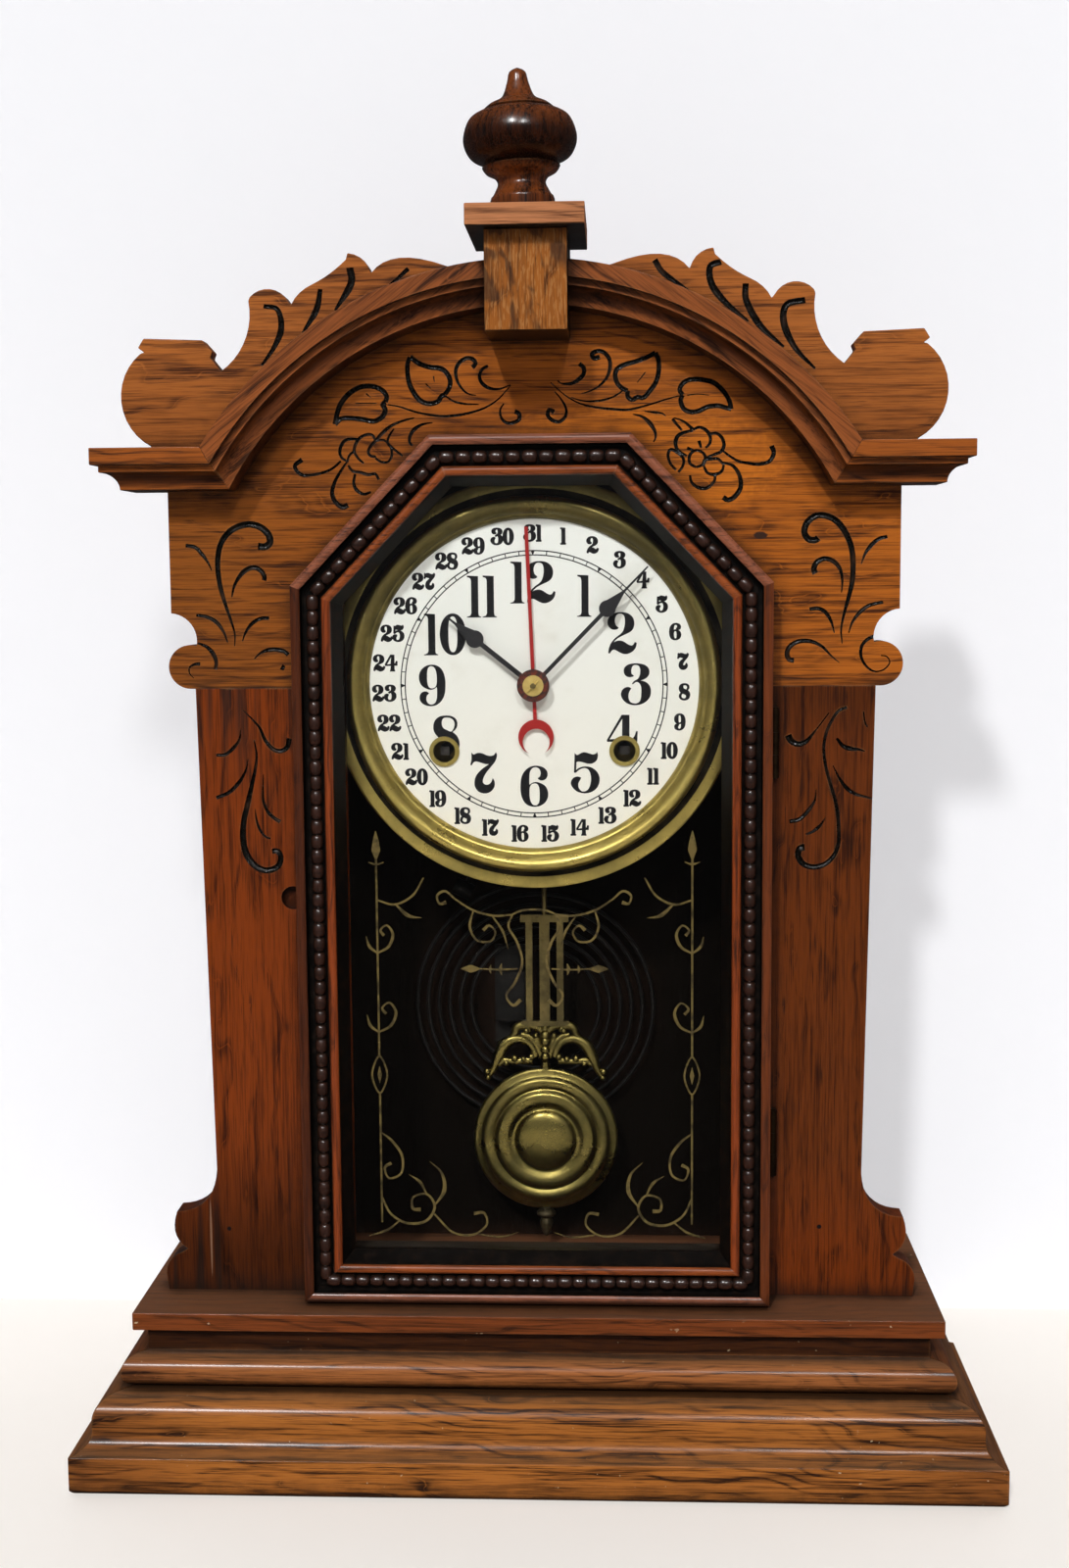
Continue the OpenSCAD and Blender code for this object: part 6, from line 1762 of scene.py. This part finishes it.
def bob_and_crown():
    """The pressed bob, the cast crown of scrolls on it and the turned drop below."""
    bm = bmesh.new()
    dome = []
    for turn in range(0, 91, 9):
        dome.append((14.6 * math.sin(math.radians(turn)), -3.3 - polar(3.7, turn)[0]))
    rim = [
        (15.2, -2.9), (16.4, -3.2), (17.6, -4.1), (18.9, -4.7), (20.6, -4.9), (22.4, -4.7),
        (23.6, -4.1), (24.2, -3.1), (24.9, -2.8), (25.7, -3.3), (27.2, -3.9), (29.0, -3.8),
        (30.2, -3.2), (30.8, -2.2), (31.3, -1.8), (33.5, -1.6), (34.4, -1.3), (34.9, -0.6),
        (34.9, 0.8), (34.0, 1.8), (31.9, 2.6), (20.0, 3.6), (0, 4.4),
    ]
    turned(bm, dome + rim, 112, (BOB_X, PENDULUM_Y, BOB_Z), "Y")
    for side in (1, -1):
        for points, radii in CROWN:
            line = [(BOB_X + side * x, PENDULUM_Y, BOB_Z + z) for x, z in points]
            wire(bm, line, [1.3 * r for r in radii], 10, 0.8, 0.7)
        for x, z, radius in CROWN_BEADS:
            ball(bm, side * x, z, radius)
    for z in (40.6, 44.0, 48.0, 51.0):
        ball(bm, 0, z, 2.6)
    stem = [(BOB_X, PENDULUM_Y, BOB_Z + z) for z in (34.2, 42.0, 50.0, 56.2)]
    wire(bm, stem, [2.6, 1.5, 2.6, 1.4], 10, 0.8, 0.8)
    ball(bm, 0, 39.4, 2.0)
    drop = [
        (0, 1.2), (2.6, 1.2), (2.7, -0.4), (3.9, -1.0), (4.6, -1.9), (4.6, -2.9), (3.6, -3.8),
        (2.5, -4.4), (2.7, -5.2), (3.2, -6.4), (3.1, -7.8), (2.6, -9.4), (1.9, -11.6),
        (1.1, -13.5), (0.5, -13.9), (0, -14.0),
    ]
    turned(bm, drop, 28, (BOB_X, PENDULUM_Y, BOB_Z - 34.9), "Z", 1)
    mesh = closed_mesh(bm, "pendulum_bob", BOB_BRASS, DROP_BRASS)
    mesh = settled(mesh, 50, weigh=False)
    add_piece("pendulum_bob_cast", mesh, "pendulum", "brass", "pendulum_bob")


bob_and_crown()
dressed("pendulum_rod", "pendulum", "brass", GRILLE_BRASS, 0.1)


# Gong and movement
def gong_wire():
    """The gong's wound wire, its inner end bent down into the block."""
    front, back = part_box("gong_coil")
    y = (front.y + back.y) / 2 / MM
    middle_x, middle_z = -2, 191
    turns, steps = 6, 36
    outer, inner, bend = 60, 28.5, 8
    path = []
    for i in range(turns * steps + 1):
        share = i / (turns * steps)
        path.append(polar(outer + (inner - outer) * share, 90 + 360 * turns * share))
    for i in range(1, 7):
        down, along = polar(bend, 15 * i)
        path.append((-along, inner - bend + down))
    path += [(-bend, 18.7), (-bend, 16.6)]
    bm = bmesh.new()
    line = [(middle_x + x, y, middle_z + z) for x, z in path]
    wire(bm, line, [1.0], 8, 1.0, 4)
    mesh = settled(closed_mesh(bm, "gong_coil", IRON), 50, weigh=False)
    add_piece("gong_wound", mesh, "case", "black_iron", "gong_coil")


def finish_the_rest():
    """Gives the CAD nodes that no piece stands for, mostly the movement, their finishes."""
    # The movement's brass takes a finish toned dark as painted shade.
    by_slot = {
        "brass": WHEEL,
        "steel": STEEL,
        "black_iron": IRON,
    }
    for label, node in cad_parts.items():
        if node.hide_render or label in ("door_glass", "dial_face"):
            continue
        finish = by_slot[node.material_slots[0].material.name]
        if "hinge" in label:
            finish = OLD_HINGE
        if "hammer" in label:
            finish = IRON
        # Painted shade: the winding arbors deep in their holes get the dark steel.
        if "winding" in label and finish == STEEL:
            finish = DULL_STEEL
        for slot in node.material_slots:
            slot.material = finish


gong_wire()
finish_the_rest()


# Room and lamps
def off_glass(w, path):
    """1 for a reflection that has not come from behind the pane."""
    glossy = w.maths("MINIMUM", path["Glossy Depth"], 1.0)
    return w.times(glossy, w.less(3.0, path["Transmission Depth"], clamp=True))


def plain_sheet(name, corners, shade, strength):
    """A backdrop that looks evenly pale to the eye and still keeps shadows.

    Part of what the camera sees is an even glow. Polished things mirror it as dark, and it
    can't be seen from behind.
    """
    glow_share, dark_share = 0.275, 0.95
    m, w, skin, end = finish_named(name)
    skin.inputs["Base Color"].default_value = colour(*shade)
    skin.inputs["Roughness"].default_value = 0.7
    set_gloss(skin, 0.1)
    glow = w.add("Emission", {"Color": colour(*shade), "Strength": strength}).outputs[0]
    dark = w.add("Emission", {"Strength": 0.0}).outputs[0]
    clear = w.add("BsdfTransparent").outputs[0]
    path = w.add("LightPath").outputs
    fresh = w.less(1.0, path["Diffuse Depth"], clamp=True)
    seen = w.times(w.larger(path["Is Camera Ray"], path["Is Transmission Ray"]), fresh)
    mirrored = w.times(w.times(off_glass(w, path), fresh), dark_share)
    away = w.add("NewGeometry").outputs["Backfacing"]
    lit = skin.outputs[0]
    for share, other in ((w.times(seen, glow_share), glow), (mirrored, dark), (away, clear)):
        lit = w.add("MixShader", {0: share, 1: lit, 2: other}).outputs[0]
    w.join(lit, end.inputs["Surface"])
    mesh = bpy.data.meshes.new(name)
    mesh.from_pydata(corners, [], [(0, 1, 2, 3)])
    mesh.materials.append(m)
    placed(name.replace(" ", "_"), mesh)


FLOOR_Z, WALL_Y, SPAN = -0.0002, 0.154, 3  # in metres
plain_sheet(
    "pale floor",
    [(x, y, FLOOR_Z) for x, y in ((-SPAN, -SPAN), (SPAN, -SPAN), (SPAN, SPAN), (-SPAN, SPAN))],
    (0.95, 0.905, 0.855),
    1.47,
)
plain_sheet(
    "pale wall",
    [(x, WALL_Y, z) for x, z in ((-SPAN, FLOOR_Z), (SPAN, FLOOR_Z), (SPAN, SPAN), (-SPAN, SPAN))],
    (0.96, 0.965, 1.0),
    1.28,
)


def sunny(name, azimuth, elevation, strength, size):
    """A far lamp; azimuth is where its light travels, from +Y towards +X."""
    lamp = bpy.data.lights.new(name, "SUN")
    lamp.energy = strength
    lamp.angle = math.radians(size)
    lamp.cycles.use_multiple_importance_sampling = False
    a, e = math.radians(azimuth), math.radians(elevation)
    way = Vector((math.sin(a) * math.cos(e), math.cos(a) * math.cos(e), -math.sin(e)))
    placed(name, lamp).rotation_euler = way.to_track_quat("-Z", "Y").to_euler()


sunny("left lamp", 16, 39, 1.53, 4)
sunny("right lamp", -10, 35, 0.83, 8)
sunny("back lamp", 165, 40, 0.5, 20)


def pale_room():
    """A dim, even world that the camera sees as near white, and fainter through the pane."""
    lighting, showing, through_pane = 0.09, 0.85, 0.3
    scene.world = bpy.data.worlds.new("pale room")
    scene.world.use_nodes = True
    scene.world.node_tree.nodes.clear()
    w = Wiring(scene.world.node_tree)
    path = w.add("LightPath").outputs
    inside = w.less(path["Is Transmission Ray"], path["Diffuse Depth"], clamp=True)
    inside = w.times(inside, w.less(1.0, off_glass(w, path)))
    shown = w.larger(path["Is Camera Ray"], w.times(inside, through_pane))
    strength = w.plus(lighting, w.times(shown, showing))
    glow = w.add("Background", {"Color": colour(0.97, 0.98, 1.0), "Strength": strength})
    w.add("OutputWorld", {"Surface": glow.outputs[0]})


def photo_camera():
    """The photograph's own place and direction, worked out from the case."""
    photo_high, lens_reach = 1600, 1899  # in the photograph's pixels
    pitch, yaw, roll = (math.radians(a) for a in (6.371, -2.616, 0.441))
    cam = bpy.data.cameras.new("camera")
    cam.sensor_fit = "AUTO"
    cam.sensor_width = 36
    cam.lens = lens_reach * 36 / photo_high
    cam.clip_start = 0.05
    cam.clip_end = 20
    level = math.cos(pitch)
    ahead = Vector((math.sin(yaw) * level, math.cos(yaw) * level, -math.sin(pitch)))
    right = Vector((math.cos(yaw), -math.sin(yaw), 0))
    down = ahead.cross(right)
    across = math.cos(roll) * right + math.sin(roll) * down
    below = -math.sin(roll) * right + math.cos(roll) * down
    place = Matrix((across, -below, -ahead)).transposed().to_4x4()
    place.translation = Vector((37.8, -833.5, 398.6)) * MM
    scene.camera = placed("camera", cam)
    scene.camera.matrix_world = place


pale_room()
photo_camera()

bpy.context.view_layer.update()
